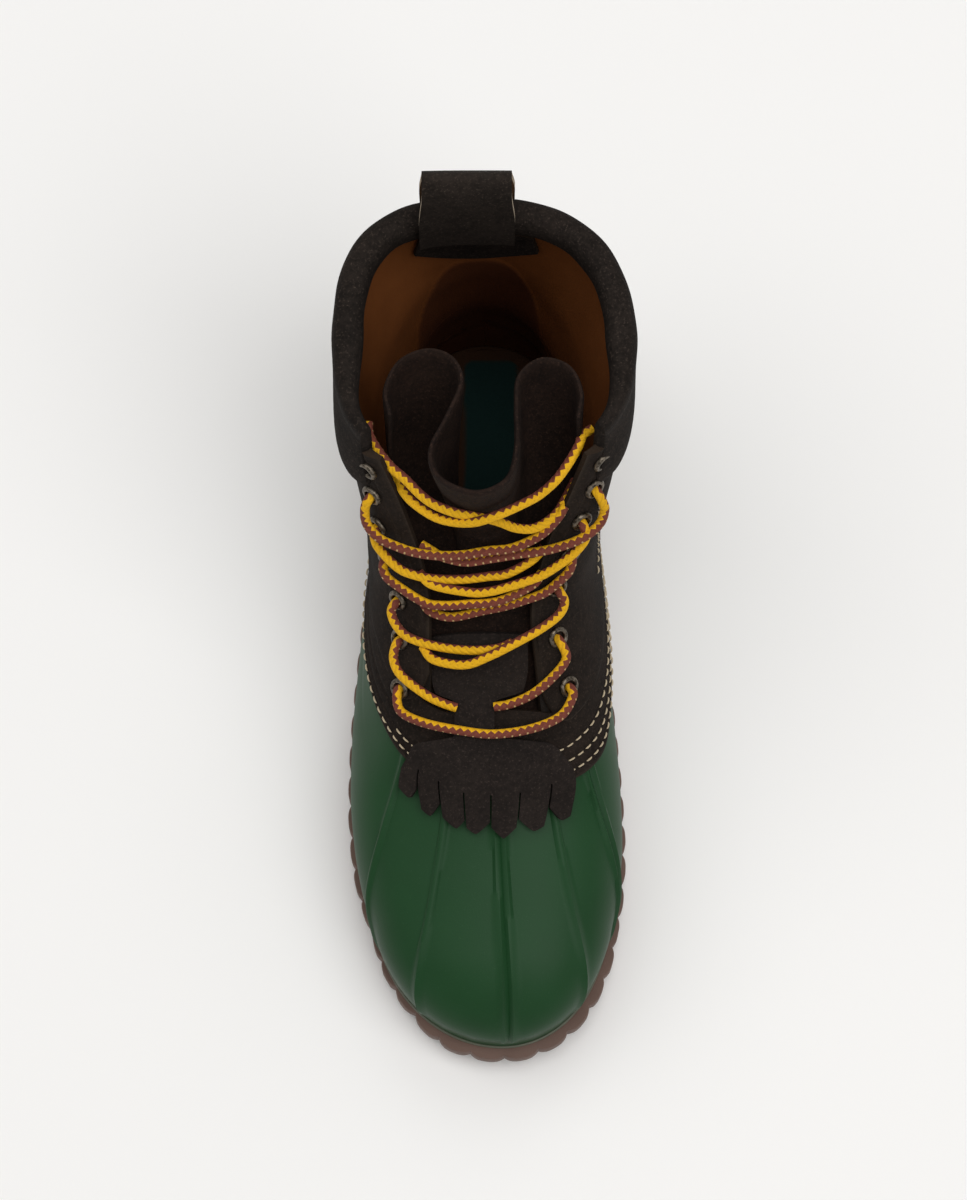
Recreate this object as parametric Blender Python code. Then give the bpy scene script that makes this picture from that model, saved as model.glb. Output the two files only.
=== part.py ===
"""A lace-up duck boot for the right foot, built as its maker would put it together.

A moulded rubber shell closes the foot, a leather shaft is sewn over its top edge, a chain-tread
sole closes it underneath, and a padded collar, bellows tongue, fringed kiltie, pull loop,
eyelets and lace finish it.

Sizes are in millimetres in the boot's own frame: x to the inner side of the foot, t back from
the toe tip along the length, z up from the floor. place() turns them into metres, with the toe
at -Y, the heel at +Y and the origin under the middle of the sole.
"""
import math

import bmesh
import bpy
import numpy as np

MM = 0.001
LENGTH = 305.0          # outsole, toe tip to heel
GAP = 0.3               # between pieces that touch on the real boot
SPINE_Z = 30.0          # height of the core line that the skin is measured from

RUBBER_WALL = 3.0
LEATHER_WALL = 2.2
QUARTER_STEP = 0.8      # the quarter's top layer, raised over the sewn band
RIB_HEIGHT = 1.1        # raised ribs on the rubber toe
RIB_HALF_WIDTH = 1.7

SOLE_FLANGE = 2.2       # sole edge outside the rubber shell, at the sides
TOE_FLANGE = 1.2        # and more round the toe
HEEL_FLANGE = 2.0       # and behind the heel
LOBE_PITCH = 12.6       # chain lobes along the sole edge
LOBE_DEPTH = 1.7
LUG_DEPTH = 2.6
LUG_GROOVE = 3.2
HEEL_BREAST = 222.0
ARCH_FRONT = 138.0
ARCH_HEIGHT = 7.0

TOE_START = 5.1
TOE_RADIUS = 43.0
TOE_RISE = 31.0
HEEL_START = 299.1
HEEL_RADIUS = 40.0

SHAFT_TOP = 176.0
COLLAR_TOP = 191.0
COLLAR_OUT = 4.6        # padded roll outside the shaft's inner skin
COLLAR_IN = 8.6         # and inside it
COLLAR_END = 0.5        # the roll's thickness at its two front ends, as a share

INSOLE_THICK = 4.5
TONGUE_WALL = 2.2
KILTIE_WALL = 2.2
LACE_RADIUS = 1.8
EYELET_OUTER = 4.3
EYELET_BORE = 2.4
EYELET_SIDES = 8
EYELET_LIFT = 0.95      # under the flat flange, clear of the curved leather
STRAP_WIDTH = 35.0
STRAP_THICK = 2.4
STRAP_TAPER = 0.08      # the share by which the strap narrows at the top of the loop

# Vertical sections of the foot: the rubber's outer skin at its widest and its crest.
FOOT_COLUMNS = ("t", "left", "right", "crest_x", "top", "wide_z")
FOOT = np.array((
    (0, 36.7, 45.0, 6.5, 49.0, 31.0),
    (30, 40.3, 46.5, 6.0, 54.0, 30.0),
    (48, 43.9, 49.3, 4.5, 58.0, 29.0),
    (64, 49.0, 52.6, 3.5, 62.0, 29.0),
    (85, 52.6, 54.2, 2.5, 67.5, 30.0),
    (105, 54.0, 53.6, 2.0, 73.5, 31.0),
    (125, 53.6, 52.0, 1.0, 81.0, 32.0),
    (150, 51.7, 49.3, 0.5, 91.0, 34.0),
    (180, 48.5, 45.5, 0.0, 92.0, 37.0),
    (215, 44.0, 42.0, 0.0, 76.0, 40.0),
    (250, 40.0, 40.0, 0.0, 62.0, 42.0),
    (305, 39.5, 39.5, 0.0, 56.0, 42.0),
), float)

# Level sections of the shaft: the leather's inner skin.
SHAFT_COLUMNS = ("z", "front", "back", "left", "right", "wide_t")
SHAFT = np.array((
    (50, 104, 299.0, 40.5, 40.0, 225),
    (65, 112, 298.0, 43.0, 42.0, 214),
    (80, 128, 296.0, 43.5, 41.5, 207),
    (100, 151, 293.5, 43.2, 40.8, 206),
    (120, 169, 291.5, 44.3, 42.0, 211),
    (140, 181, 290.5, 46.6, 44.8, 219),
    (160, 189, 290.3, 49.3, 47.8, 227),
    (180, 193, 290.6, 51.6, 50.4, 234),
    (195, 195, 291.0, 52.0, 50.8, 236),
), float)

# The sole: its top, and the spring of its underside, along the length.
SOLE_COLUMNS = ("t", "top", "under")
SOLE = np.array((
    (0, 20.0, 9.0),
    (12, 17.6, 5.6),
    (26, 15.0, 2.6),
    (40, 13.0, 0.7),
    (52, 12.0, 0.0),
    (110, 12.0, 0.0),
    (150, 14.5, 0.0),
    (190, 18.5, 0.0),
    (222, 20.5, 0.0),
    (305, 21.5, 0.0),
), float)

# Meridians of the skin, from the front round each side to the heel. Each leaves the sole edge
# from a core point at "core" towards "turn" degrees from the toe, and climbs to the leather's
# lower edge (seam) and to the top of the sewn band (band).
MERIDIAN_COLUMNS = (
    "core", "turn", "seam_x", "seam_t", "seam_z", "band_x", "band_t", "band_z", "upper_core",
)
INNER_SIDE = np.array((
    (55, 6, 4.5, 100, 72, 3.5, 119, 79, 122),
    (55, 34, 24.0, 101, 68, 22.5, 119, 76, 122),
    (55, 71, 38.6, 109, 62, 33.0, 126, 75, 130),
    (76, 89, 46.5, 122, 57, 40.0, 137, 73, 140),
    (112, 90, 49.5, 146, 55, 44.0, 156, 71, 158),
    (150, 90, 48.0, 176, 56, 45.0, 182, 72, 182),
    (188, 90, 46.0, 206, 58, 44.0, 209, 74, 207),
    (224, 92, 43.0, 236, 61, 42.0, 236, 77, 228),
    (250, 104, 37.0, 264, 64, 36.5, 263, 80, 245),
    (258, 138, 22.0, 290, 67, 21.5, 288, 83, 252),
    (259, 180, 0.0, 299, 68, 0.0, 297, 84, 255),
), float)
OUTER_SIDE = np.array((
    (55, 6, 4.5, 100, 72, 3.5, 119, 79, 122),
    (55, -27.6, -14.0, 101, 71, -12.5, 119, 78, 122),
    (55, -48, -22.5, 106, 69, -20.0, 122, 77, 124),
    (55, -64, -30.0, 113, 66, -26.5, 128, 76, 130),
    (76, -86, -39.5, 132, 62, -34.5, 144, 75, 145),
    (112, -90, -45.5, 160, 60, -41.5, 168, 73, 166),
    (150, -90, -48.2, 184, 59, -45.0, 189, 74, 188),
    (188, -90, -47.0, 210, 59, -45.0, 213, 75, 210),
    (224, -92, -43.0, 238, 61, -42.0, 238, 77, 229),
    (250, -104, -37.0, 264, 64, -36.5, 263, 80, 245),
    (258, -138, -22.0, 290, 67, -21.5, 288, 83, 252),
    (259, -180, 0.0, 299, 68, 0.0, 297, 84, 255),
), float)
INNER_RIBS = (0, 1, 2)          # rows of the side tables that carry a toe rib
OUTER_RIBS = (1, 3)

# The throat: the front edges of the eyestays above the sewn band.
THROAT_COLUMNS = ("z", "left", "right")
THROAT = np.array((
    (79, 21.3, 22.0),
    (92, 21.2, 19.0),
    (106, 21.0, 16.8),
    (121, 23.2, 19.6),
    (138, 27.5, 24.0),
    (156, 32.5, 30.5),
    (176, 37.5, 35.5),
    (192, 40.3, 37.5),
), float)


def smooth(table, columns, name, at):
    """Monotone cubic through one named column of a table, read at the first column's values."""
    xs = table[:, 0]
    ys = table[:, columns.index(name)]
    step = np.diff(xs)
    rise = np.diff(ys) / step
    slope = np.zeros_like(ys)
    same = rise[:-1] * rise[1:] > 0
    total = np.where(same, rise[:-1] + rise[1:], 1.0)
    slope[1:-1] = np.where(same, 2.0 * rise[:-1] * rise[1:] / total, 0.0)
    slope[0] = rise[0]
    slope[-1] = rise[-1]
    at = np.clip(at, xs[0], xs[-1])
    i = np.clip(np.searchsorted(xs, at, side="right") - 1, 0, len(xs) - 2)
    u = (at - xs[i]) / step[i]
    return (
        (1 + 2 * u) * (1 - u) ** 2 * ys[i]
        + u * (1 - u) ** 2 * step[i] * slope[i]
        + u * u * (3 - 2 * u) * ys[i + 1]
        + u * u * (u - 1) * step[i] * slope[i + 1]
    )


def round_end(distance, radius):
    """Quarter circle from 0 at an end to 1 at its radius away from it."""
    return np.sqrt(np.maximum(1.0 - np.clip(1.0 - distance / radius, 0.0, 1.0) ** 2, 0.0))


def fade(value, low, high):
    """0 below low, 1 above high, with a smooth step between."""
    u = np.clip((value - low) / (high - low), 0.0, 1.0)
    return u * u * (3 - 2 * u)


def sole_top(t):
    return smooth(SOLE, SOLE_COLUMNS, "top", t)


def foot_field(x, t, z):
    """Below 0 inside the foot: arched sections between the sole and the crest."""
    def col(name):
        return smooth(FOOT, FOOT_COLUMNS, name, t)
    crest_x = col("crest_x")
    ends = round_end(t - TOE_START, TOE_RADIUS) * round_end(HEEL_START - t, HEEL_RADIUS)
    wide = np.where(x < crest_x, col("left") + crest_x, col("right") - crest_x) * ends
    above = z - col("wide_z")
    tuck = 1.0 - 0.045 * (np.minimum(above, 0.0) / 20.0) ** 2
    high = (col("top") - col("wide_z")) * round_end(t - TOE_START, TOE_RISE)
    across = np.abs(x - crest_x) / np.maximum(wide * tuck, 0.5)
    up = np.maximum(above, 0.0) / np.maximum(high, 0.5)
    outer_arch = 2.35 - 0.62 * fade(t, 88, 128)
    inner_arch = 2.35 - 0.30 * fade(t, 90, 150)
    power = outer_arch + (inner_arch - outer_arch) * fade(x - crest_x, -16, 16)
    past = np.maximum(t - HEEL_START, TOE_START - t)
    return np.maximum(((across ** power + up ** power) ** (1 / power) - 1.0) * 40.0, 3.0 * past)


def shaft_field(x, t, z):
    """Below 0 inside the shaft: egg-shaped level sections."""
    def col(name):
        return smooth(SHAFT, SHAFT_COLUMNS, name, z)
    wide = np.where(x < 0, col("left"), col("right"))
    centre = col("wide_t")
    long = np.where(t < centre, centre - col("front"), col("back") - centre)
    inner = np.where(x > 0, 1.0, 0.0)
    front_square = 0.9 * fade(z, 95, 145) * (1 - 0.55 * inner * fade(z, 140, 170)) * (t < centre)
    back_square = (0.9 - 0.6 * inner) * fade(z, 120, 170) * (t > centre)
    power = 2.2 + front_square + back_square
    r = ((np.abs(x) / wide) ** power + (np.abs(t - centre) / long) ** power) ** (1 / power)
    return (r - 1.0) * 46.0 + np.maximum(50.0 - z, 0.0) * 1.5


def body_field(x, t, z):
    """Foot and shaft joined with a fillet, broad at the instep and tight at the heel."""
    a = foot_field(x, t, z)
    b = shaft_field(x, t, z)
    blend = 20.0 - 15.0 * fade(t, 150, 215)
    near = np.maximum(blend - np.abs(a - b), 0.0) / blend
    return np.minimum(a, b) - near * near * blend / 4.0


def cast(origin, aim, reach=200.0):
    """Where rays from inside the body first leave its skin, by marching and then halving."""
    aim = aim / np.linalg.norm(aim, axis=-1, keepdims=True)
    steps = np.linspace(0.0, reach, 101)
    low = np.zeros(origin.shape[:-1])
    high = np.full(origin.shape[:-1], reach)
    found = np.zeros(origin.shape[:-1], bool)
    for s0, s1 in zip(steps[:-1], steps[1:]):
        p = origin + aim * s1
        out = (body_field(p[..., 0], p[..., 1], p[..., 2]) > 0) & ~found
        low[out] = s0
        high[out] = s1
        found |= out
    for _ in range(26):
        mid = (low + high) / 2
        p = origin + aim * mid[..., None]
        out = body_field(p[..., 0], p[..., 1], p[..., 2]) > 0
        high = np.where(out, mid, high)
        low = np.where(out, low, mid)
    return origin + aim * ((low + high) / 2)[..., None]


def skin_normal(p):
    """Outward unit normals of the skin, from central differences of the field."""
    e = 0.4
    parts = []
    for axis in range(3):
        d = np.zeros(3)
        d[axis] = e
        a = p + d
        b = p - d
        parts.append(
            body_field(a[..., 0], a[..., 1], a[..., 2]) - body_field(b[..., 0], b[..., 1], b[..., 2])
        )
    n = np.stack(parts, axis=-1)
    return n / np.linalg.norm(n, axis=-1, keepdims=True)


def place(p):
    """Boot millimetres (x, t, z) to world metres."""
    return np.stack([p[..., 0], p[..., 1] - LENGTH / 2, p[..., 2]], axis=-1) * MM


def material(name, colour, roughness, metallic=0.0):
    mat = bpy.data.materials.new(name)
    mat.use_nodes = True
    shader = mat.node_tree.nodes["Principled BSDF"]
    shader.inputs["Base Color"].default_value = (*colour, 1.0)
    shader.inputs["Roughness"].default_value = roughness
    shader.inputs["Metallic"].default_value = metallic
    mat.diffuse_color = (*colour, 1.0)
    return mat


def clear_scene():
    for obj in list(bpy.data.objects):
        bpy.data.objects.remove(obj, do_unlink=True)


def collection(name):
    made = bpy.data.collections.new(name)
    bpy.context.scene.collection.children.link(made)
    return made


def face_outwards(mesh):
    """Turn a closed mesh so that its faces point out."""
    made = bmesh.new()
    made.from_mesh(mesh)
    bmesh.ops.recalc_face_normals(made, faces=made.faces)
    if made.calc_volume(signed=True) < 0:
        bmesh.ops.reverse_faces(made, faces=made.faces)
    made.to_mesh(mesh)
    made.free()


def mesh_object(name, verts, faces, mat, group, sharp=40.0):
    """A named object from points in boot millimetres."""
    mesh = bpy.data.meshes.new(name)
    mesh.from_pydata(place(np.asarray(verts, float)).tolist(), [], faces)
    face_outwards(mesh)
    obj = bpy.data.objects.new(name, mesh)
    group.objects.link(obj)
    if mat:
        mesh.materials.append(mat)
    mesh.shade_smooth()
    mesh.set_sharp_from_angle(angle=math.radians(sharp))
    return obj


def shell_faces(rows, cols, cells, wrap):
    """Triangles of a wall between two grids of rows x cols points, outer points first.

    cells marks the grid squares that are covered. Every free edge gets a strip from the outer
    grid to the inner one, so the wall is one closed skin.
    """
    size = rows * cols
    faces = []
    edges = {}

    def add_edge(a, b):
        if (b, a) in edges:
            del edges[(b, a)]
        else:
            edges[(a, b)] = True

    for i in range(rows - 1):
        for j in range(cols if wrap else cols - 1):
            if not cells[i, j]:
                continue
            k = (j + 1) % cols
            a = i * cols + j
            b = i * cols + k
            c = (i + 1) * cols + k
            d = (i + 1) * cols + j
            for tri in ((a, b, c), (a, c, d)):
                faces.append(tri)
                faces.append(tuple(size + v for v in reversed(tri)))
            for p, q in ((a, b), (b, c), (c, d), (d, a)):
                add_edge(p, q)
    for p, q in edges:
        faces.append((q, p, size + p))
        faces.append((q, size + p, size + q))
    return faces


def wall_object(name, outer, inner, cells, wrap, mat, group, sharp=40.0):
    """A wall of cloth, leather or rubber between an outer and an inner grid of points."""
    rows, cols = outer.shape[:2]
    faces = shell_faces(rows, cols, cells, wrap)
    verts = np.concatenate([outer.reshape(-1, 3), inner.reshape(-1, 3)])
    used = sorted({v for face in faces for v in face})
    index = {v: i for i, v in enumerate(used)}
    faces = [tuple(index[v] for v in face) for face in faces]
    return mesh_object(name, verts[used], faces, mat, group, sharp)


def side_steps(table, ribs, gaps):
    """Row positions along a side table: its rows, rib edges beside them, and points between."""
    steps = []
    for i in range(len(table) - 1):
        steps.append(float(i))
        inner = np.linspace(i, i + 1, gaps[i] + 2)[1:-1]
        steps.extend(inner.tolist())
    steps.append(float(len(table) - 1))
    for row in ribs:
        for side in (-1, 1):
            if row + side >= 0:
                steps.append(side_rib_step(table, row, side))
    return np.array(sorted(set(round(s, 5) for s in steps)))


def side_rib_step(table, row, side):
    """Where a rib's edge lies along a side table, measured across the seam line."""
    other = row + side
    i = MERIDIAN_COLUMNS.index("seam_x")
    j = MERIDIAN_COLUMNS.index("seam_t")
    span = math.hypot(table[other, i] - table[row, i], table[other, j] - table[row, j])
    return row + side * RIB_HALF_WIDTH / span


def read_side(table, steps):
    """Every meridian value at fractional rows of a side table, by a smooth curve."""
    indexed = np.column_stack([np.arange(len(table)), table])
    names = ("row",) + MERIDIAN_COLUMNS
    return {n: smooth(indexed, names, n, steps) for n in MERIDIAN_COLUMNS}


INNER_GAPS = (2, 2, 1, 1, 1, 1, 1, 1, 1, 1)
OUTER_GAPS = (2, 1, 1, 1, 1, 1, 1, 1, 1, 1, 1)


def meridians():
    """All meridians in one ring: front centre, inner side, heel, and back along the outer side."""
    inner_steps = side_steps(INNER_SIDE, INNER_RIBS, INNER_GAPS)
    outer_steps = side_steps(OUTER_SIDE, OUTER_RIBS, OUTER_GAPS)
    centre_edge = side_rib_step(OUTER_SIDE, 0, 1)
    outer_steps = np.array(sorted(set(outer_steps.tolist()) | {round(centre_edge, 5)}))
    inner = read_side(INNER_SIDE, inner_steps)
    outer = read_side(OUTER_SIDE, outer_steps[1:-1])
    ring = {n: np.concatenate([inner[n], outer[n][::-1]]) for n in MERIDIAN_COLUMNS}
    rib = np.zeros(len(ring["core"]))
    for i, s in enumerate(inner_steps):
        if s in INNER_RIBS:
            rib[i] = 1.0
    for i, s in enumerate(outer_steps[1:-1][::-1]):
        if s in OUTER_RIBS:
            rib[len(inner_steps) + i] = 1.0
    ring["rib"] = rib
    ring["step"] = np.concatenate([inner_steps, -outer_steps[1:-1][::-1]])
    return ring


def stack(x, t, z):
    return np.stack(np.broadcast_arrays(x, t, z), axis=-1).astype(float)


def sole_rays(ring, z):
    """Level rays from the core line to the skin just above the sole."""
    turn = np.radians(ring["turn"])
    core = stack(smooth(FOOT, FOOT_COLUMNS, "crest_x", ring["core"]) * 0.5, ring["core"], z)
    aim = stack(np.sin(turn), -np.cos(turn), np.zeros_like(turn))
    return core, aim


def climb_rays(ring, to):
    """Rays from the upper core line towards the seam or band targets of every meridian."""
    core = stack(ring[to + "_x"] * 0.25, ring["upper_core"], SPINE_Z)
    target = stack(ring[to + "_x"], ring[to + "_t"], ring[to + "_z"])
    return core, target - core


def blended_rays(first, last, amount):
    """Rays part of the way between two sets of rays."""
    unit = [a / np.linalg.norm(a, axis=-1, keepdims=True) for a in (first[1], last[1])]
    core = first[0] * (1 - amount) + last[0] * amount
    return core, unit[0] * (1 - amount) + unit[1] * amount


LOWER_ROWS = (0.0, 0.12, 0.25, 0.39, 0.54, 0.7, 0.85, 1.0)   # sole edge up to the seam
BAND_ROWS = (0.5, 1.0)                                           # seam up to the band's top


def lower_grid(ring):
    """Skin points from the sole edge to the seam, then to the top of the sewn band."""
    foot_z = sole_top(ring["core"] - np.cos(np.radians(ring["turn"])) * 45.0)
    sole = sole_rays(ring, foot_z + GAP)
    first = cast(*sole)
    for _ in range(3):
        sole = sole_rays(ring, sole_top(first[:, 1]) + GAP)
        first = cast(*sole)
    seam = climb_rays(ring, "seam")
    band = climb_rays(ring, "band")
    rows = [first]
    rows += [cast(*blended_rays(sole, seam, a)) for a in LOWER_ROWS[1:]]
    rows += [cast(*blended_rays(seam, band, a)) for a in BAND_ROWS]
    return np.array(rows)


def throat_point(z, side):
    """The skin point on an eyestay's front edge at one height."""
    x = side * smooth(THROAT, THROAT_COLUMNS, "right" if side > 0 else "left", z)
    axis = smooth(SHAFT, SHAFT_COLUMNS, "wide_t", z)
    return front_point(x, z, axis)


def front_point(x, z, from_t=235.0):
    """The skin in front of a point x, z, looking forward from inside the shaft."""
    x, z, from_t = np.broadcast_arrays(x, z, from_t)
    return cast(stack(x, from_t, z), stack(0.0 * x, -1.0 + 0.0 * x, 0.0 * x))


def top_point(x, t):
    """The skin above a point x, t of the vamp."""
    x, t = np.broadcast_arrays(x, t)
    return cast(stack(x, t, SPINE_Z), stack(0.0 * x, 0.0 * x, 1.0 + 0.0 * x))


SHAFT_ROWS = (0.0, 0.08, 0.18, 0.3, 0.43, 0.57, 0.71, 0.85, 1.0)


def shaft_columns(ring):
    """Indices of the meridians outside the throat, from the inner eyestay round the heel."""
    inner_edge = int(np.argmin(np.abs(ring["step"] - 1.0)))
    outer_edge = int(np.argmin(np.abs(ring["step"] + 2.0)))
    return np.arange(inner_edge, outer_edge + 1)


def upper_rows(ring, band_row, fractions, top):
    """Level rows of the shaft from the band's top to a height, for the columns round the heel."""
    cols = shaft_columns(ring)
    base = band_row[cols]
    rows = []
    for f in fractions:
        z = base[:, 2] + (top - base[:, 2]) * f
        axis = smooth(SHAFT, SHAFT_COLUMNS, "wide_t", np.maximum(z, 90.0))
        turn0 = np.degrees(np.arctan2(base[:, 0], axis - base[:, 1]))
        turn0 = np.where(turn0 < -1e-6, turn0 + 360.0, turn0)
        inner = throat_point(z[0], 1.0)
        outer = throat_point(z[-1], -1.0)
        start = math.degrees(math.atan2(inner[0], axis[0] - inner[1]))
        end = 360.0 + math.degrees(math.atan2(outer[0], axis[-1] - outer[1]))
        part = (turn0 - turn0[0]) / (turn0[-1] - turn0[0])
        turn = np.radians(start + (end - start) * part)
        row = cast(stack(0.0, axis, z), stack(np.sin(turn), -np.cos(turn), 0.0 * turn))
        rows.append(row)
    return np.array(rows)


def offset(points, amount):
    """Points moved out along the skin's normals by millimetres (per row or per point)."""
    amount = np.broadcast_to(np.asarray(amount, float), points.shape[:-1])
    return points + skin_normal(points) * amount[..., None]


def build_rubber(ring, grid, mat, group):
    """The moulded rubber shell: open underneath and at its top, ribbed on the toe."""
    rows, cols = grid.shape[:2]
    climb = np.array(LOWER_ROWS + tuple(1.0 + b for b in BAND_ROWS))
    rise = np.minimum(fade(climb, 0.12, 0.3), 1.0 - fade(climb, 0.93, 1.0))[:, None]
    rib = rise * ring["rib"][None, :] * RIB_HEIGHT
    outer = offset(grid, rib - GAP / 2)
    inner = offset(grid, -GAP / 2 - RUBBER_WALL)
    inner[0, :, 2] = outer[0, :, 2]
    cells = np.ones((rows - 1, cols), bool)
    return wall_object("rubber_shell", outer, inner, cells, True, mat, group)


def build_shaft(ring, grid, mat, group):
    """The leather shaft: a sewn band over the rubber and the raised quarters above it."""
    seam_row = len(LOWER_ROWS) - 1
    band = grid[seam_row:]
    cols = shaft_columns(ring)
    upper = upper_rows(ring, grid[-1], SHAFT_ROWS[1:], SHAFT_TOP)
    n = grid.shape[1]
    full = np.zeros((len(band) + len(upper), n, 3))
    full[:len(band)] = band
    full[len(band):] = band[-1]
    full[len(band):, cols] = upper
    cells = np.zeros((len(full) - 1, n), bool)
    cells[:len(band) - 1, :] = True
    cells[len(band) - 1:, cols[:-1]] = True
    raised = np.full((len(full), n), LEATHER_WALL + GAP / 2)
    raised[len(band):] += QUARTER_STEP
    outer = offset(full, raised)
    inner = offset(full, GAP / 2)
    shaft = wall_object("leather_shaft", outer, inner, cells, True, mat, group)
    return shaft


def outline(per_side, height):
    """A closed ring round the foot at a height: toe to heel on the inner side, and back.

    height is a function of t. Each side has the same number of evenly spaced steps, so point i on
    one side faces point i on the other.
    """
    sides = []
    for table in (INNER_SIDE, OUTER_SIDE):
        values = read_side(table, np.linspace(0, len(table) - 1, 321))
        p = np.zeros((321, 3)) + 60.0
        for _ in range(4):
            p = cast(*sole_rays(values, height(p[:, 1])))
        along = np.concatenate([[0], np.cumsum(np.linalg.norm(np.diff(p[:, :2], axis=0), axis=1))])
        even = np.linspace(0, along[-1], per_side + 1)
        sides.append(np.column_stack([np.interp(even, along, p[:, i]) for i in range(3)]))
    ring = np.concatenate([sides[0], sides[1][-2:0:-1]])
    tangent = np.roll(ring, -1, axis=0) - np.roll(ring, 1, axis=0)
    normal = np.column_stack([-tangent[:, 1], tangent[:, 0]])
    normal /= np.linalg.norm(normal, axis=1, keepdims=True)
    middle = ring[:, :2].mean(axis=0)
    if np.sum((ring[:, :2] - middle) * normal) < 0:
        normal = -normal
    return ring, normal


def moved(ring, normal, out):
    made = ring.copy()
    made[:, :2] += normal * np.broadcast_to(out, len(ring))[:, None]
    return made


def ladder_faces(start, count, up):
    """A flat cap over a ring: rungs join each point to the one facing it on the other side."""
    half = count // 2
    faces = []
    for i in range(half):
        a = start + i
        b = start + i + 1
        c = start + (count - i - 1) % count
        d = start + (count - i) % count
        if i == 0:
            tris = [(a, b, c)]
        elif i == half - 1:
            tris = [(a, b, d)]
        else:
            tris = [(a, b, c), (a, c, d)]
        faces.extend(tris if up else [tuple(reversed(t)) for t in tris])
    return faces


def stacked_rings(name, rings, mat, group, sharp=40.0):
    """A solid from rings of equal length, lowest first, capped by ladders."""
    count = len(rings[0])
    faces = ladder_faces(0, count, False)
    for level in range(len(rings) - 1):
        low = level * count
        high = low + count
        for i in range(count):
            j = (i + 1) % count
            faces.append((low + i, low + j, high + j))
            faces.append((low + i, high + j, high + i))
    faces += ladder_faces((len(rings) - 1) * count, count, True)
    return mesh_object(name, np.concatenate(rings), faces, mat, group, sharp)


def prism(name, profile, x0, x1, group):
    """A cutter: an outline of (t, z) corners carried from x0 to x1."""
    n = len(profile)
    verts = [(x0, t, z) for t, z in profile] + [(x1, t, z) for t, z in profile]
    faces = [tuple(range(n)), tuple(range(2 * n - 1, n - 1, -1))]
    faces += [(i, i + n, (i + 1) % n + n, (i + 1) % n) for i in range(n)]
    obj = mesh_object(name, verts, faces, None, group)
    obj.hide_render = True
    obj.display_type = "WIRE"
    return obj


def cut(target, cutter):
    modifier = target.modifiers.new(cutter.name, "BOOLEAN")
    modifier.operation = "DIFFERENCE"
    modifier.solver = "EXACT"
    modifier.object = cutter


def groove_cutter(t, group):
    """A chevron groove across the sole, following its underside at t."""
    half = LUG_GROOVE / 2
    zig = 5.0
    floor = float(smooth(SOLE, SOLE_COLUMNS, "under", t))
    n = 5
    xs = np.linspace(-66, 66, n)
    lean = np.where(np.arange(n) % 2 == 0, zig / 2, -zig / 2)
    verts = []
    for z in (floor - 6.0, floor + LUG_DEPTH):
        for side in (-half, half):
            verts += [(x, t + k + side, z) for x, k in zip(xs, lean)]
    faces = []
    for i in range(n - 1):
        faces.append((i, i + 1, n + i + 1, n + i))
        faces.append((2 * n + i, 3 * n + i, 3 * n + i + 1, 2 * n + i + 1))
        faces.append((i, 2 * n + i, 2 * n + i + 1, i + 1))
        faces.append((n + i, n + i + 1, 3 * n + i + 1, 3 * n + i))
    faces.append((0, n, 3 * n, 2 * n))
    faces.append((n - 1, 3 * n - 1, 4 * n - 1, 2 * n - 1))
    obj = mesh_object("cut_groove_%03d" % round(t), verts, faces, None, group)
    obj.hide_render = True
    obj.display_type = "WIRE"
    return obj


FOREFOOT_GROOVES = tuple(22.0 + LOBE_PITCH * i for i in range(9))
HEEL_GROOVES = tuple(236.0 + LOBE_PITCH * i for i in range(5))
LOBE_SHAPE = (0.0, 0.95, 0.9)


def build_outsole(mat, group, cutters):
    """The chain-tread sole: lobed edge, toe spring, arch, heel and chevron lugs."""
    per_side = 27 * len(LOBE_SHAPE)
    ring, normal = outline(per_side, lambda t: sole_top(t) + GAP)
    toe = 1.0 - fade(ring[:, 1], 10, 75)
    heel = fade(ring[:, 1], 270, 300)
    outer_toe = fade(-ring[:, 0], 12, 32) * (1.0 - fade(ring[:, 1], 50, 80))
    base = (SOLE_FLANGE + TOE_FLANGE * toe) * (1.0 - 0.65 * outer_toe) + HEEL_FLANGE * heel
    lobe = np.array([LOBE_SHAPE[i % len(LOBE_SHAPE)] for i in range(len(ring))]) * LOBE_DEPTH
    edge = moved(ring, normal, base + lobe)
    inset = moved(ring, normal, base + lobe - 1.0)
    under = smooth(SOLE, SOLE_COLUMNS, "under", ring[:, 1])
    top = sole_top(ring[:, 1])
    levels = []
    for flat, z in ((inset, under), (edge, under + 1.4), (edge, top)):
        level = flat.copy()
        level[:, 2] = z
        levels.append(level)
    sole = stacked_rings("outsole", levels, mat, group)
    span = HEEL_BREAST - ARCH_FRONT
    arch = [(HEEL_BREAST, -5.0), (ARCH_FRONT, -5.0)]
    for u in (0.0, 0.2, 0.4, 0.6, 0.8):
        arch.append((ARCH_FRONT + (span - 4.0) * u, ARCH_HEIGHT * math.sin(math.pi / 2 * u) + 0.001))
    arch.append((HEEL_BREAST - 4.0, ARCH_HEIGHT))
    arch.append((HEEL_BREAST, ARCH_HEIGHT - 2.0))
    cut(sole, prism("cut_arch", arch, -70, 70, cutters))
    for t in FOREFOOT_GROOVES + HEEL_GROOVES:
        cut(sole, groove_cutter(t, cutters))
    return sole


def build_insole(mat, group):
    """A flat footbed on the sole, inside the rubber shell."""
    def base(t):
        return sole_top(t) + GAP
    ring, normal = outline(30, lambda t: base(t) + INSOLE_THICK / 2)
    flat = moved(ring, normal, -RUBBER_WALL - 1.6)
    low = flat.copy()
    low[:, 2] = base(flat[:, 1])
    high = flat.copy()
    high[:, 2] = base(flat[:, 1]) + INSOLE_THICK
    return stacked_rings("insole", [low, high], mat, group)


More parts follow.
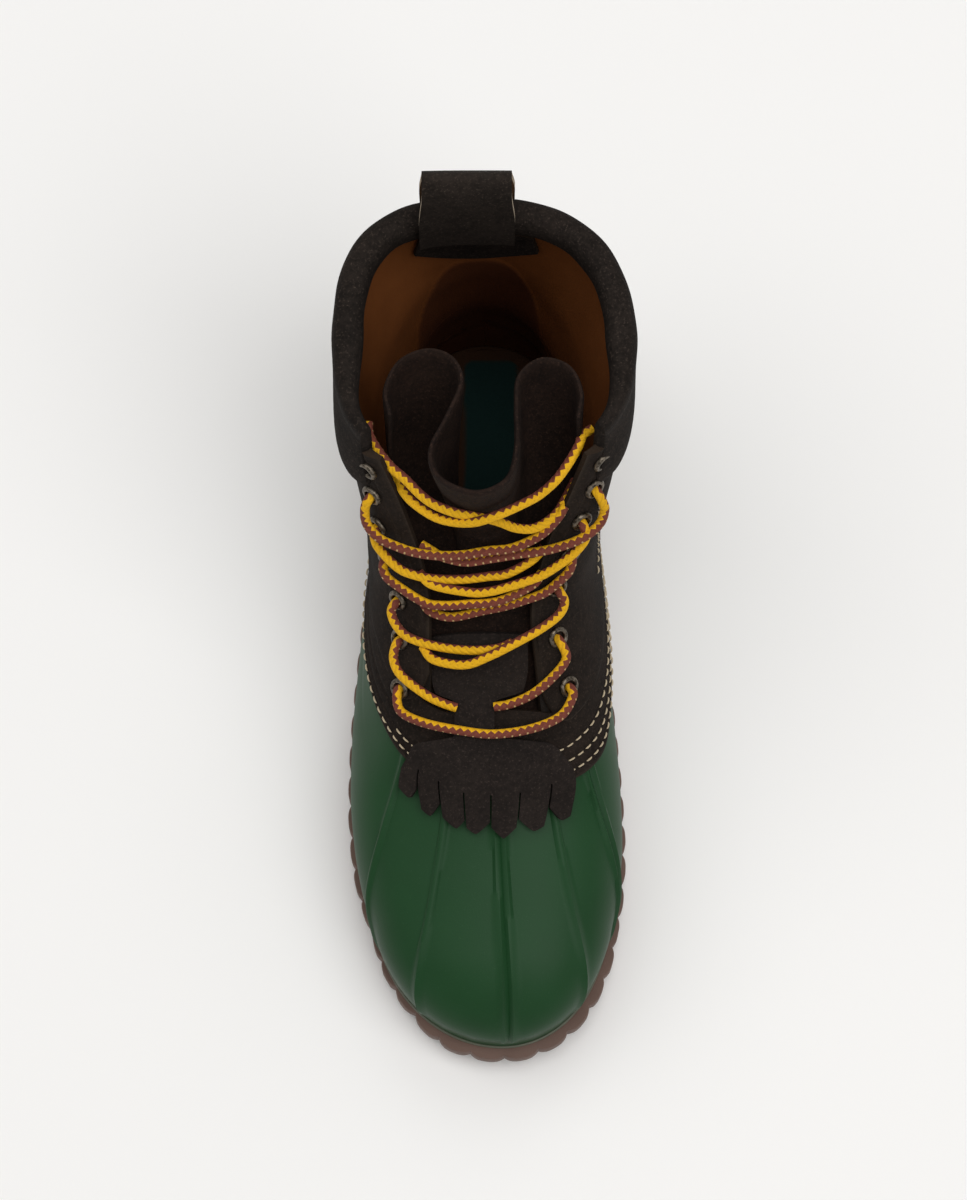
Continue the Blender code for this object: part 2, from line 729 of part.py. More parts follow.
def build_collar(ring, grid, mat, group):
    """The padded roll round the top line, thinner towards its two front ends."""
    middle = (SHAFT_TOP + GAP + COLLAR_TOP) / 2
    half_height = (COLLAR_TOP - SHAFT_TOP - GAP) / 2
    row = upper_rows(ring, grid[-1], (1.0,), middle)[0]
    normal = skin_normal(row)
    normal[:, 2] = 0.0
    normal /= np.linalg.norm(normal, axis=1, keepdims=True)
    along = np.concatenate([[0], np.cumsum(np.linalg.norm(np.diff(row, axis=0), axis=1))])
    end = np.minimum(along, along[-1] - along)
    full = COLLAR_END + (1.0 - COLLAR_END) * fade(end, 0.0, 42.0)
    half_width = (COLLAR_OUT + COLLAR_IN) * full / 2
    centre = COLLAR_OUT * full - half_width
    turns = np.linspace(0, 2 * np.pi, 8, endpoint=False) + np.pi / 8
    across = np.sign(np.cos(turns)) * np.abs(np.cos(turns)) ** 0.8
    up = np.sign(np.sin(turns)) * np.abs(np.sin(turns)) ** 0.8
    up /= np.abs(up).max()
    verts = []
    for k in range(len(row)):
        for a, b in zip(across, up):
            p = row[k] + normal[k] * (centre[k] + half_width[k] * a)
            verts.append((p[0], p[1], middle + half_height * b))
    n = len(turns)
    faces = [tuple(range(n - 1, -1, -1))]
    for k in range(len(row) - 1):
        for i in range(n):
            j = (i + 1) % n
            a, b = k * n + i, k * n + j
            faces.append((a, b, b + n))
            faces.append((a, b + n, a + n))
    last = (len(row) - 1) * n
    faces.append(tuple(range(last, last + n)))
    return mesh_object("collar", verts, faces, mat, group)


# The tongue's folded top edge, from the outer eyestay to the inner one.
TONGUE_FOLD = np.array((
    (-34.8, 209), (-36.4, 219), (-31.5, 229.5), (-21.5, 234), (-12.5, 231), (-9.0, 222),
    (-14.0, 209), (-20.0, 196), (-17.0, 185.5), (-4.0, 180), (7.5, 185), (11.0, 197),
    (11.0, 212), (12.0, 224), (20.0, 230.5), (30.0, 227.5), (34.2, 218), (33.2, 208),
), float)
TONGUE_ROWS = (0.0, 0.08, 0.17, 0.27, 0.38, 0.5, 0.63, 0.76, 0.88, 1.0)
TONGUE_BASE_T = 108.0
TONGUE_TOP = 188.0


def tongue_centre():
    """The middle surface of the tongue: flat under the kiltie, folding into a bellows above."""
    n = len(TONGUE_FOLD)
    s = np.linspace(-1.0, 1.0, n)
    rows = []
    for part in TONGUE_ROWS:
        z = 86.0 + (TONGUE_TOP - 86.0) * part
        half = smooth(THROAT, THROAT_COLUMNS, "left", z) + 6.0 * (1 - fade(part, 0.6, 1.0))
        x = s * half
        skin = front_point(x, np.full(n, z))
        depth = 2.4 + 2.8 * (1 - fade(part, 0.0, 0.17)) * s ** 4 + 5.0 * (1 - s ** 4)
        flat = offset(skin, -depth)
        front = float(skin[n // 2, 1]) - 192.0
        folded = stack(TONGUE_FOLD[:, 0], TONGUE_FOLD[:, 1] + front, z)
        amount = fade(part, 0.05, 1.15) / fade(1.0, 0.05, 1.15)
        rows.append(flat * (1 - amount) + folded * amount)
    low = top_point(s * 21.0, np.full(n, TONGUE_BASE_T))
    low = offset(low, -6.5)
    return np.concatenate([low[None], np.array(rows)])


def build_tongue(mat, group):
    centre = tongue_centre()
    along = np.gradient(centre, axis=0)
    across = np.gradient(centre, axis=1)
    normal = np.cross(across, along)
    normal /= np.linalg.norm(normal, axis=-1, keepdims=True)
    outer = centre + normal * TONGUE_WALL / 2
    inner = centre - normal * TONGUE_WALL / 2
    cells = np.ones((centre.shape[0] - 1, centre.shape[1] - 1), bool)
    tongue = wall_object("tongue", outer, inner, cells, False, mat, group)
    return tongue


# The kiltie along its length: half width, and its underside above the boot's skin.
KILTIE_COLUMNS = ("t", "centre", "half", "under")
KILTIE = np.array((
    (82, 0.6, 28.5, 1.6),
    (92, 0.6, 31.0, 2.2),
    (99, 0.6, 31.6, 3.5),
    (106, 0.6, 30.5, 4.2),
    (111, 0.2, 27.5, 4.2),
    (115.5, -1.0, 24.0, 4.2),
    (118, -4.0, 7.0, 4.1),
    (121, -4.0, 7.0, 3.6),
    (129, -4.0, 7.0, 1.0),
    (133, -2.6, 16.5, -0.6),
    (142, -2.6, 19.0, -3.4),
    (151, -2.6, 19.0, -3.8),
), float)
KILTIE_ROWS = (110, 115.5, 118, 121, 129, 133, 142, 151)
# Fringe strips, from the outer side: where each tip is and where the slits between them start.
FRINGE_TIP_T = (96.0, 89.0, 84.0, 81.8, 80.2, 83.0, 87.5)
FRINGE_SLIT_T = (106.0, 101.5, 97.0, 96.0, 97.0, 100.5)
FRINGE_EDGES = (-1.0, -0.80, -0.56, -0.28, 0.04, 0.38, 0.73, 1.0)
SLIT = 0.9


def build_kiltie(mat, group):
    """The fringed flap over the tongue's base, with a neck that the lace holds."""
    strips = len(FRINGE_TIP_T)
    edges = FRINGE_EDGES
    us = []
    strip_of = []
    for k in range(strips):
        left = edges[k] + (SLIT / 60 if k else 0.0)
        right = edges[k + 1] - (SLIT / 60 if k < strips - 1 else 0.0)
        us += [left, (left + right) / 2, right]
        strip_of += [k] * 3
    us = np.array(us)
    rows = []
    tips = np.array([FRINGE_TIP_T[k] for k in strip_of])
    middle = np.arange(len(us)) % 3 == 1
    tips = tips + np.where(middle, 0.0, 3.4)
    slit_t = np.array([FRINGE_SLIT_T[min(k, strips - 2)] for k in strip_of])
    for k in range(strips - 1):
        slit_t[3 * k + 2] = FRINGE_SLIT_T[k]
        slit_t[3 * k + 3] = FRINGE_SLIT_T[k]
    ts = [tips, (tips + slit_t) / 2, slit_t]
    for t in KILTIE_ROWS:
        ts.append(np.full(len(us), float(t)))
    surface = []
    under = []
    for t in ts:
        half = smooth(KILTIE, KILTIE_COLUMNS, "half", t)
        x = us * half + smooth(KILTIE, KILTIE_COLUMNS, "centre", t)
        surface.append(top_point(x, t))
        under.append(smooth(KILTIE, KILTIE_COLUMNS, "under", t))
    surface = np.array(surface)
    under = np.array(under)
    normal = skin_normal(surface)
    low = surface + normal * under[..., None]
    high = surface + normal * (under + KILTIE_WALL)[..., None]
    cells = np.ones((len(ts) - 1, len(us) - 1), bool)
    for k in range(strips - 1):
        cells[:2, 3 * k + 2] = False
    kiltie = wall_object("kiltie", high, low, cells, False, mat, group)
    return kiltie


# Eyelets on the eyestays, lowest first: where the inner and outer ones sit.
EYELET_COLUMNS = ("outer_x", "outer_z", "inner_x", "inner_z")
EYELETS = (
    (-30.9, 80.5, 29.6, 83.3),
    (-30.5, 91.5, 25.4, 96.0),
    (-31.0, 102.8, 25.0, 113.2),
    (-35.0, 118.0, 29.8, 126.0),
    (-38.0, 134.0, 33.6, 141.3),
    (-39.8, 150.8, 37.6, 154.5),
    (-41.0, 167.5, 39.9, 168.3),
)


def frame_at(p):
    """Two directions along the skin and its normal at one point."""
    n = skin_normal(p[None])[0]
    a = np.cross(n, (0.0, 0.0, 1.0))
    a /= np.linalg.norm(a)
    return a, np.cross(n, a), n


def disc(name, centre, axes, profile, sides, mat, group):
    """A turned ring: (radius, height) corners carried round a normal."""
    a, b, n = axes
    verts = []
    for k in range(sides):
        turn = 2 * math.pi * k / sides
        out = a * math.cos(turn) + b * math.sin(turn)
        verts += [centre + out * r + n * h for r, h in profile]
    m = len(profile)
    faces = []
    for k in range(sides):
        j = (k + 1) % sides
        for i in range(m):
            w = (i + 1) % m
            faces.append((k * m + i, k * m + w, j * m + w, j * m + i))
    obj = mesh_object(name, verts, faces, mat, group)
    return obj


def build_eyelets(mat, group):
    seat = GAP / 2 + LEATHER_WALL + QUARTER_STEP + EYELET_LIFT
    profile = ((EYELET_BORE, seat + 0.9), (EYELET_OUTER - 0.7, seat + 0.9),
               (EYELET_OUTER, seat), (EYELET_BORE, seat))
    for i, (outer_x, outer_z, inner_x, inner_z) in enumerate(EYELETS):
        for side, x, z in (("outer", outer_x, outer_z), ("inner", inner_x, inner_z)):
            p = front_point(np.array([x]), np.array([z]))[0]
            disc("eyelet_%s_%d" % (side, i + 1), p, frame_at(p), profile, EYELET_SIDES, mat, group)


# Lace strands by row, each from where it leaves an eyelet to where it goes out of sight:
# x, height, and height of its centre line above the skin.
LACE = (
    (
        ((-30.8, 80.8, 7.1), (-28.3, 77.2, 7.0), (-20.2, 80.3, 8.6), (-7.8, 82.6, 8.7), (2.9, 82.6, 8.7),
         (15.4, 82.0, 8.6), (25.1, 80.5, 7.6), (29.5, 82.8, 7.1)),
    ),
    (
        ((-30.5, 91.0, 7.1), (-30.8, 87.2, 6.9), (-28.5, 85.9, 6.4), (-21.0, 86.1, 5.7),
         (-15.5, 86.0, 4.6), (-12.8, 86.0, 4.4)),
    ),
    (
        ((25.4, 95.5, 7.1), (26.7, 91.2, 6.9), (22.5, 89.9, 6.4), (16.0, 88.6, 5.3), (8.7, 87.7, 4.6),
         (4.9, 87.3, 4.4)),
    ),
    (
        ((-31.0, 102.5, 7.1), (-31.0, 98.9, 7.0), (-29.5, 96.2, 7.0), (-25.7, 96.1, 6.3),
         (-16.4, 98.5, 5.4), (-5.6, 100.0, 5.4), (6.0, 101.0, 5.0), (12.1, 102.1, 4.2)),
        ((25.0, 113.0, 7.1), (25.7, 108.0, 6.9), (23.8, 104.5, 6.5), (18.2, 103.2, 6.0),
         (10.2, 101.9, 5.4), (1.0, 99.6, 5.4), (-7.3, 97.1, 5.3), (-17.6, 95.4, 5.0)),
    ),
    (
        ((-35.0, 117.6, 7.3), (-33.6, 115.3, 7.2), (-30.8, 113.6, 6.6), (-21.5, 111.8, 5.8),
         (-15.1, 112.3, 5.4), (-5.9, 113.5, 5.4), (4.7, 114.3, 5.2), (16.3, 118.6, 4.2)),
        ((29.6, 125.6, 7.1), (27.7, 122.0, 7.1), (24.9, 119.0, 7.3), (20.2, 114.9, 6.9),
         (14.2, 113.2, 5.9), (7.5, 112.0, 5.4), (-1.9, 111.0, 5.4), (-12.1, 107.6, 5.0),
         (-19.5, 106.7, 4.2)),
    ),
    (
        ((-37.3, 130.8, 7.4), (-34.2, 126.0, 7.2), (-30.1, 122.9, 6.8), (-26.1, 122.0, 6.2),
         (-19.2, 121.2, 5.4), (-8.9, 122.0, 5.3), (1.1, 123.4, 5.2), (7.7, 124.4, 5.0),
         (16.4, 128.4, 4.2)),
        ((33.0, 134.2, 7.4), (30.1, 131.2, 7.4), (25.2, 128.2, 6.9), (18.3, 124.2, 5.8),
         (7.7, 121.0, 5.3), (1.1, 119.2, 5.2), (-5.9, 118.7, 5.2), (-18.6, 119.9, 4.2)),
    ),
    (
        ((-39.8, 150.4, 7.1), (-40.0, 144.5, 7.1), (-38.8, 138.2, 8.2), (-35.5, 135.3, 8.0),
         (-30.9, 134.4, 6.8), (-25.1, 133.9, 6.0), (-17.5, 134.3, 5.6), (-8.9, 135.5, 5.6),
         (1.0, 137.9, 5.8), (9.8, 138.8, 5.4), (19.4, 143.1, 4.6)),
        ((37.6, 154.2, 7.1), (38.2, 149.5, 7.1), (38.4, 144.8, 7.8), (37.0, 140.2, 8.2),
         (33.7, 138.6, 8.2), (28.9, 136.4, 6.9), (21.1, 134.6, 5.8), (11.6, 133.4, 5.6),
         (1.1, 131.3, 5.6), (-7.1, 130.2, 5.4), (-13.0, 131.8, 5.5), (-19.5, 133.3, 5.5)),
    ),
    (
        ((-32, 171, -1.0), (-28, 165.5, 1.5), (-18, 159.5, 6.5), (-4, 155.5, 9.8), (9, 151.5, 9.4),
         (19, 152.5, 5.5), (26, 158.0, 2.0)),
        ((31, 172.5, -1.0), (27, 166.5, 1.5), (17, 160, 6.5), (3, 155.5, 9.8), (-10, 153.5, 8.5),
         (-22, 157.5, 4.0), (-28, 161.0, 2.0)),
    ),
)
LACE_STEP = 9.0          # between rings along a strand
LACE_SIDES = 6


def lace_path(route):
    """Evenly spaced centre points along one strand of the lace."""
    route = np.array(route, float)
    base = front_point(route[:, 0], route[:, 1])
    knots = base + skin_normal(base) * route[:, 2:3]
    table = np.column_stack([np.arange(len(knots)), knots])
    fine = np.linspace(0, len(knots) - 1, 40 * len(knots))
    names = ("k", "x", "t", "z")
    p = np.column_stack([smooth(table, names, n, fine) for n in names[1:]])
    along = np.concatenate([[0], np.cumsum(np.linalg.norm(np.diff(p, axis=0), axis=1))])
    even = np.linspace(0, along[-1], max(int(round(along[-1] / LACE_STEP)), 3) + 1)
    return np.column_stack([np.interp(even, along, p[:, i]) for i in range(3)])


def tube(name, path, radius, sides, mat, group):
    """A round cord along a path, with flat ends."""
    tangent = np.gradient(path, axis=0)
    tangent /= np.linalg.norm(tangent, axis=1, keepdims=True)
    side = np.cross(tangent, (0.0, 0.25, 1.0))
    side /= np.linalg.norm(side, axis=1, keepdims=True)
    up = np.cross(side, tangent)
    turns = np.arange(sides) * 2 * math.pi / sides
    rings = (
        path[:, None]
        + side[:, None] * (radius * np.cos(turns))[None, :, None]
        + up[:, None] * (radius * np.sin(turns))[None, :, None]
    )
    n = sides
    faces = [tuple(range(n - 1, -1, -1))]
    for k in range(len(path) - 1):
        for i in range(n):
            j = (i + 1) % n
            faces.append((k * n + i, k * n + j, k * n + n + j))
            faces.append((k * n + i, k * n + n + j, k * n + n + i))
    last = (len(path) - 1) * n
    faces.append(tuple(range(last, last + n)))
    return mesh_object(name, rings.reshape(-1, 3), faces, mat, group)


def build_lace(mat, group, cutters):
    """The lace, row by row: the strands that cross in a row are one solid."""
    for i, row in enumerate(LACE):
        lace = tube("lace_%d" % (i + 1), lace_path(row[0]), LACE_RADIUS, LACE_SIDES, mat, group)
        for k, route in enumerate(row[1:]):
            other = tube("lace_%d_join_%d" % (i + 1, k + 1), lace_path(route), LACE_RADIUS,
                         LACE_SIDES, None, cutters)
            other.hide_render = True
            other.display_type = "WIRE"
            modifier = lace.modifiers.new(other.name, "BOOLEAN")
            modifier.operation = "UNION"
            modifier.solver = "EXACT"
            modifier.object = other


# The pull loop's strap, from its sewn end inside the collar, over the top and down outside.
STRAP_X = -7.0
STRAP_PATH = (
    (280.6, 176), (280.6, 184), (280.7, 192), (281.4, 203), (282.6, 214), (284.2, 222),
    (287.2, 226.2), (290.4, 222), (292.8, 213), (295.0, 203), (296.6, 194), (297.2, 186),
    (297.1, 176), (296.6, 166), (296.2, 160),
)
STRAP_COLUMNS = 5


def collar_curve(x, out):
    """How far the collar's inner or outer face lies behind its middle, at points across it."""
    wide = np.linspace(-45, 45, 61)
    z = (SHAFT_TOP + COLLAR_TOP) / 2
    skin = cast(stack(wide, 240.0, z), stack(0.0 * wide, 1.0, 0.0))
    face = offset(skin, out)
    order = np.argsort(face[:, 0])
    t = np.interp(x, face[order, 0], face[order, 1])
    return t - np.interp(STRAP_X, face[order, 0], face[order, 1])


def build_pull_loop(mat, group):
    """A strap folded over the back of the collar and sewn inside and outside."""
    path = np.array(STRAP_PATH, float)
    table = np.column_stack([np.arange(len(path)), path])
    at = np.linspace(0, len(path) - 1, 19)
    t = smooth(table, ("k", "t", "z"), "t", at)
    z = smooth(table, ("k", "t", "z"), "z", at)
    tangent = np.column_stack([np.gradient(t), np.gradient(z)])
    tangent /= np.linalg.norm(tangent, axis=1, keepdims=True)
    normal = np.column_stack([-tangent[:, 1], tangent[:, 0]])
    taper = 1.0 - STRAP_TAPER * fade(z, 195, 222)
    across = np.linspace(-0.5, 0.5, STRAP_COLUMNS) * STRAP_WIDTH
    x = STRAP_X + across[None, :] * taper[:, None]
    room = GAP + STRAP_THICK / 2
    behind = fade(t, 284, 292)[:, None]
    curve = collar_curve(x, -COLLAR_IN - room) * (1 - behind) + collar_curve(x, COLLAR_OUT + room) * behind
    curve *= (1.0 - 0.85 * fade(z, 190, 224))[:, None]
    sides = []
    for way in (1, -1):
        p = np.column_stack([t, z]) + normal * way * STRAP_THICK / 2
        sides.append(stack(x, p[:, 0][:, None] + curve, p[:, 1][:, None]))
    cells = np.ones((len(at) - 1, STRAP_COLUMNS - 1), bool)
    return wall_object("pull_loop", sides[0], sides[1], cells, False, mat, group)


def main():
    clear_scene()
    group = collection("duck_boot")
    cutters = collection("cutters")
    green = material("green_rubber", (0.030, 0.085, 0.032), 0.5)
    brown = material("brown_sole_rubber", (0.095, 0.060, 0.045), 0.6)
    leather = material("brown_leather", (0.022, 0.014, 0.010), 0.8)
    suede = material("dark_suede", (0.026, 0.016, 0.012), 0.95)
    board = material("insole_board", (0.20, 0.10, 0.04), 0.8)
    metal = material("eyelet_metal", (0.30, 0.26, 0.20), 0.35, 1.0)
    cord = material("lace_cord", (0.42, 0.24, 0.08), 0.9)
    ring = meridians()
    grid = lower_grid(ring)
    build_outsole(brown, group, cutters)
    build_insole(board, group)
    build_rubber(ring, grid, green, group)
    build_shaft(ring, grid, leather, group)
    build_collar(ring, grid, leather, group)
    build_tongue(suede, group)
    build_kiltie(suede, group)
    build_eyelets(metal, group)
    build_pull_loop(leather, group)
    build_lace(cord, group, cutters)


main()
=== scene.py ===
"""The looks of the duck boot: rubber shell, nubuck shaft, chain sole, lace and linings.

Every surface is worked out from the boot's own tables: the skin of the foot and shaft as a
smooth field, rays that find it, and steps outwards or inwards from it. Sizes are millimetres in
the boot's frame: x to the inner side, t back from the toe tip, z up. place() makes them metres.
"""
import math

import bpy
import numpy as np
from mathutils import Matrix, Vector

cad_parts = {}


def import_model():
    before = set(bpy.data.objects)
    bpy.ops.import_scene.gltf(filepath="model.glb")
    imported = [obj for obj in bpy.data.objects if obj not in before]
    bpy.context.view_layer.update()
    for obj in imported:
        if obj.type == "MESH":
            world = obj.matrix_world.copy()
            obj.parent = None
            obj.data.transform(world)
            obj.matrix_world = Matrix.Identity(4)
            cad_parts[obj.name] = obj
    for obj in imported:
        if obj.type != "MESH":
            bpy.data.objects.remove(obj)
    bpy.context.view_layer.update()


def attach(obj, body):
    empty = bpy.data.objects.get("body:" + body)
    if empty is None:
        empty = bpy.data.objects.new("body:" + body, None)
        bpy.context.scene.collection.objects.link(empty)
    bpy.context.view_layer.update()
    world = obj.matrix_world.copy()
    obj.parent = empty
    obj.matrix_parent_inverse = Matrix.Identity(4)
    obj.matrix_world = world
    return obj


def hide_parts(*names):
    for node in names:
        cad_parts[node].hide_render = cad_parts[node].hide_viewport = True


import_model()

MM = 0.001
LENGTH = 305.0          # outsole, toe tip to heel
GAP = 0.3               # between pieces that touch on the real boot
SPINE_Z = 30.0          # height of the core line that the skin is measured from
RUBBER_WALL = 3.0
LEATHER_WALL = 2.2
QUARTER_STEP = 0.8      # the quarters' top layer, raised over the sewn band
RIB_HEIGHT = 1.3
SOLE_FLANGE = 2.2       # sole edge outside the rubber shell, at the sides
TOE_FLANGE = 1.2        # and more round the toe
HEEL_FLANGE = 2.0       # and behind the heel
LOBE_PITCH = 12.6       # chain lobes along the sole edge
LOBE_DEPTH = 1.7
LUG_DEPTH = 2.6
HEEL_BREAST = 222.0
ARCH_FRONT = 138.0
ARCH_HEIGHT = 7.0
TOE_START = 5.1         # the foot's front end and how roundly it closes, from above and beside
TOE_RADIUS = 43.0
TOE_RISE = 31.0
HEEL_START = 299.1
HEEL_RADIUS = 40.0
SHAFT_TOP = 176.0
COLLAR_TOP = 191.0
COLLAR_OUT = 4.6        # padded roll outside the shaft's inner skin
COLLAR_IN = 8.6         # and inside it
COLLAR_END = 0.5        # the roll's thickness at its two front ends, as a share
INSOLE_THICK = 4.5
TONGUE_WALL = 2.2
KILTIE_WALL = 2.2
LACE_RADIUS = 1.8
STRAP_WIDTH = 35.0
STRAP_THICK = 2.4
STRAP_TAPER = 0.08      # the share by which the strap narrows at the top of the loop
STRAP_X = -7.0

FOOT_COLUMNS = ("t", "left", "right", "crest_x", "top", "wide_z")
FOOT = np.array((
    (0, 36.7, 45.0, 6.5, 49.0, 31.0),
    (30, 40.3, 46.5, 6.0, 54.0, 30.0),
    (48, 43.9, 49.3, 4.5, 58.0, 29.0),
    (64, 49.0, 52.6, 3.5, 62.0, 29.0),
    (85, 52.6, 54.2, 2.5, 67.5, 30.0),
    (105, 54.0, 53.6, 2.0, 73.5, 31.0),
    (125, 53.6, 52.0, 1.0, 81.0, 32.0),
    (150, 51.7, 49.3, 0.5, 91.0, 34.0),
    (180, 48.5, 45.5, 0.0, 92.0, 37.0),
    (215, 44.0, 42.0, 0.0, 76.0, 40.0),
    (250, 40.0, 40.0, 0.0, 62.0, 42.0),
    (305, 39.5, 39.5, 0.0, 56.0, 42.0),
), float)

SHAFT_COLUMNS = ("z", "front", "back", "left", "right", "wide_t")
SHAFT = np.array((
    (50, 104, 299.0, 40.5, 40.0, 225),
    (65, 112, 298.0, 43.0, 42.0, 214),
    (80, 128, 296.0, 43.5, 41.5, 207),
    (100, 151, 293.5, 43.2, 40.8, 206),
    (120, 169, 291.5, 44.3, 42.0, 211),
    (140, 181, 290.5, 46.6, 44.8, 219),
    (160, 189, 290.3, 49.3, 47.8, 227),
    (180, 193, 290.6, 51.6, 50.4, 234),
    (195, 195, 291.0, 52.0, 50.8, 236),
), float)

SOLE_COLUMNS = ("t", "top", "under")
SOLE = np.array((
    (0, 20.0, 9.0),
    (12, 17.6, 5.6),
    (26, 15.0, 2.6),
    (40, 13.0, 0.7),
    (52, 12.0, 0.0),
    (110, 12.0, 0.0),
    (150, 14.5, 0.0),
    (190, 18.5, 0.0),
    (222, 20.5, 0.0),
    (305, 21.5, 0.0),
), float)

MERIDIAN_COLUMNS = (
    "core", "turn", "seam_x", "seam_t", "seam_z", "band_x", "band_t", "band_z", "upper_core",
)
INNER_SIDE = np.array((
    (55, 6, 4.5, 100, 72, 3.5, 119, 79, 122),
    (55, 34, 24.0, 101, 68, 22.5, 119, 76, 122),
    (55, 71, 38.6, 109, 62, 33.0, 126, 75, 130),
    (76, 89, 46.5, 122, 57, 40.0, 137, 73, 140),
    (112, 90, 49.5, 146, 55, 44.0, 156, 71, 158),
    (150, 90, 48.0, 176, 56, 45.0, 182, 72, 182),
    (188, 90, 46.0, 206, 58, 44.0, 209, 74, 207),
    (224, 92, 43.0, 236, 61, 42.0, 236, 77, 228),
    (250, 104, 37.0, 264, 64, 36.5, 263, 80, 245),
    (258, 138, 22.0, 290, 67, 21.5, 288, 83, 252),
    (259, 180, 0.0, 299, 68, 0.0, 297, 84, 255),
), float)
OUTER_SIDE = np.array((
    (55, 6, 4.5, 100, 72, 3.5, 119, 79, 122),
    (55, -27.6, -14.0, 101, 71, -12.5, 119, 78, 122),
    (55, -48, -22.5, 106, 69, -20.0, 122, 77, 124),
    (55, -64, -30.0, 113, 66, -26.5, 128, 76, 130),
    (76, -86, -39.5, 132, 62, -34.5, 144, 75, 145),
    (112, -90, -45.5, 160, 60, -41.5, 168, 73, 166),
    (150, -90, -48.2, 184, 59, -45.0, 189, 74, 188),
    (188, -90, -47.0, 210, 59, -45.0, 213, 75, 210),
    (224, -92, -43.0, 238, 61, -42.0, 238, 77, 229),
    (250, -104, -37.0, 264, 64, -36.5, 263, 80, 245),
    (258, -138, -22.0, 290, 67, -21.5, 288, 83, 252),
    (259, -180, 0.0, 299, 68, 0.0, 297, 84, 255),
), float)

THROAT_COLUMNS = ("z", "left", "right")
THROAT = np.array((
    (79, 21.3, 22.0),
    (92, 21.2, 19.0),
    (106, 21.0, 16.8),
    (121, 23.2, 19.6),
    (138, 27.5, 24.0),
    (156, 32.5, 30.5),
    (176, 37.5, 35.5),
    (192, 40.3, 37.5),
), float)


# The skin

def smooth(table, columns, name, at):
    """Monotone cubic through one named column of a table, read at the first column's values."""
    xs = table[:, 0]
    ys = table[:, columns.index(name)]
    step = np.diff(xs)
    rise = np.diff(ys) / step
    slope = np.zeros_like(ys)
    same = rise[:-1] * rise[1:] > 0
    total = np.where(same, rise[:-1] + rise[1:], 1.0)
    slope[1:-1] = np.where(same, 2.0 * rise[:-1] * rise[1:] / total, 0.0)
    slope[0] = rise[0]
    slope[-1] = rise[-1]
    at = np.clip(at, xs[0], xs[-1])
    i = np.clip(np.searchsorted(xs, at, side="right") - 1, 0, len(xs) - 2)
    u = (at - xs[i]) / step[i]
    return (
        (1 + 2 * u) * (1 - u) ** 2 * ys[i]
        + u * (1 - u) ** 2 * step[i] * slope[i]
        + u * u * (3 - 2 * u) * ys[i + 1]
        + u * u * (u - 1) * step[i] * slope[i + 1]
    )


def round_end(distance, radius):
    """Quarter circle from 0 at an end to 1 at its radius away from it."""
    return np.sqrt(np.maximum(1.0 - np.clip(1.0 - distance / radius, 0.0, 1.0) ** 2, 0.0))


def fade(value, low, high):
    """0 below low, 1 above high, with a smooth step between."""
    u = np.clip((value - low) / (high - low), 0.0, 1.0)
    return u * u * (3 - 2 * u)


def sole_top(t):
    """Height of the sole's upper face along the boot."""
    return smooth(SOLE, SOLE_COLUMNS, "top", t)


def foot_field(x, t, z):
    """Below 0 inside the foot: arched sections between the sole and the crest."""
    def col(name):
        return smooth(FOOT, FOOT_COLUMNS, name, t)
    crest_x = col("crest_x")
    ends = round_end(t - TOE_START, TOE_RADIUS) * round_end(HEEL_START - t, HEEL_RADIUS)
    wide = np.where(x < crest_x, col("left") + crest_x, col("right") - crest_x) * ends
    above = z - col("wide_z")
    tuck = 1.0 - 0.045 * (np.minimum(above, 0.0) / 20.0) ** 2
    high = (col("top") - col("wide_z")) * round_end(t - TOE_START, TOE_RISE)
    across = np.abs(x - crest_x) / np.maximum(wide * tuck, 0.5)
    up = np.maximum(above, 0.0) / np.maximum(high, 0.5)
    outer_arch = 2.35 - 0.62 * fade(t, 88, 128)
    inner_arch = 2.35 - 0.30 * fade(t, 90, 150)
    power = outer_arch + (inner_arch - outer_arch) * fade(x - crest_x, -16, 16)
    past = np.maximum(t - HEEL_START, TOE_START - t)
    return np.maximum(((across ** power + up ** power) ** (1 / power) - 1.0) * 40.0, 3.0 * past)


def shaft_field(x, t, z):
    """Below 0 inside the shaft: egg-shaped level sections."""
    def col(name):
        return smooth(SHAFT, SHAFT_COLUMNS, name, z)
    wide = np.where(x < 0, col("left"), col("right"))
    centre = col("wide_t")
    long = np.where(t < centre, centre - col("front"), col("back") - centre)
    inner = np.where(x > 0, 1.0, 0.0)
    front_square = 0.9 * fade(z, 95, 145) * (1 - 0.55 * inner * fade(z, 140, 170)) * (t < centre)
    back_square = (0.9 - 0.6 * inner) * fade(z, 120, 170) * (t > centre)
    power = 2.2 + front_square + back_square
    r = ((np.abs(x) / wide) ** power + (np.abs(t - centre) / long) ** power) ** (1 / power)
    return (r - 1.0) * 46.0 + np.maximum(50.0 - z, 0.0) * 1.5


def body_field(x, t, z):
    """Foot and shaft joined with a fillet, broad at the instep and tight at the heel."""
    a = foot_field(x, t, z)
    b = shaft_field(x, t, z)
    blend = 20.0 - 15.0 * fade(t, 150, 215)
    near = np.maximum(blend - np.abs(a - b), 0.0) / blend
    return np.minimum(a, b) - near * near * blend / 4.0


REACH = 200.0           # how far a ray is followed


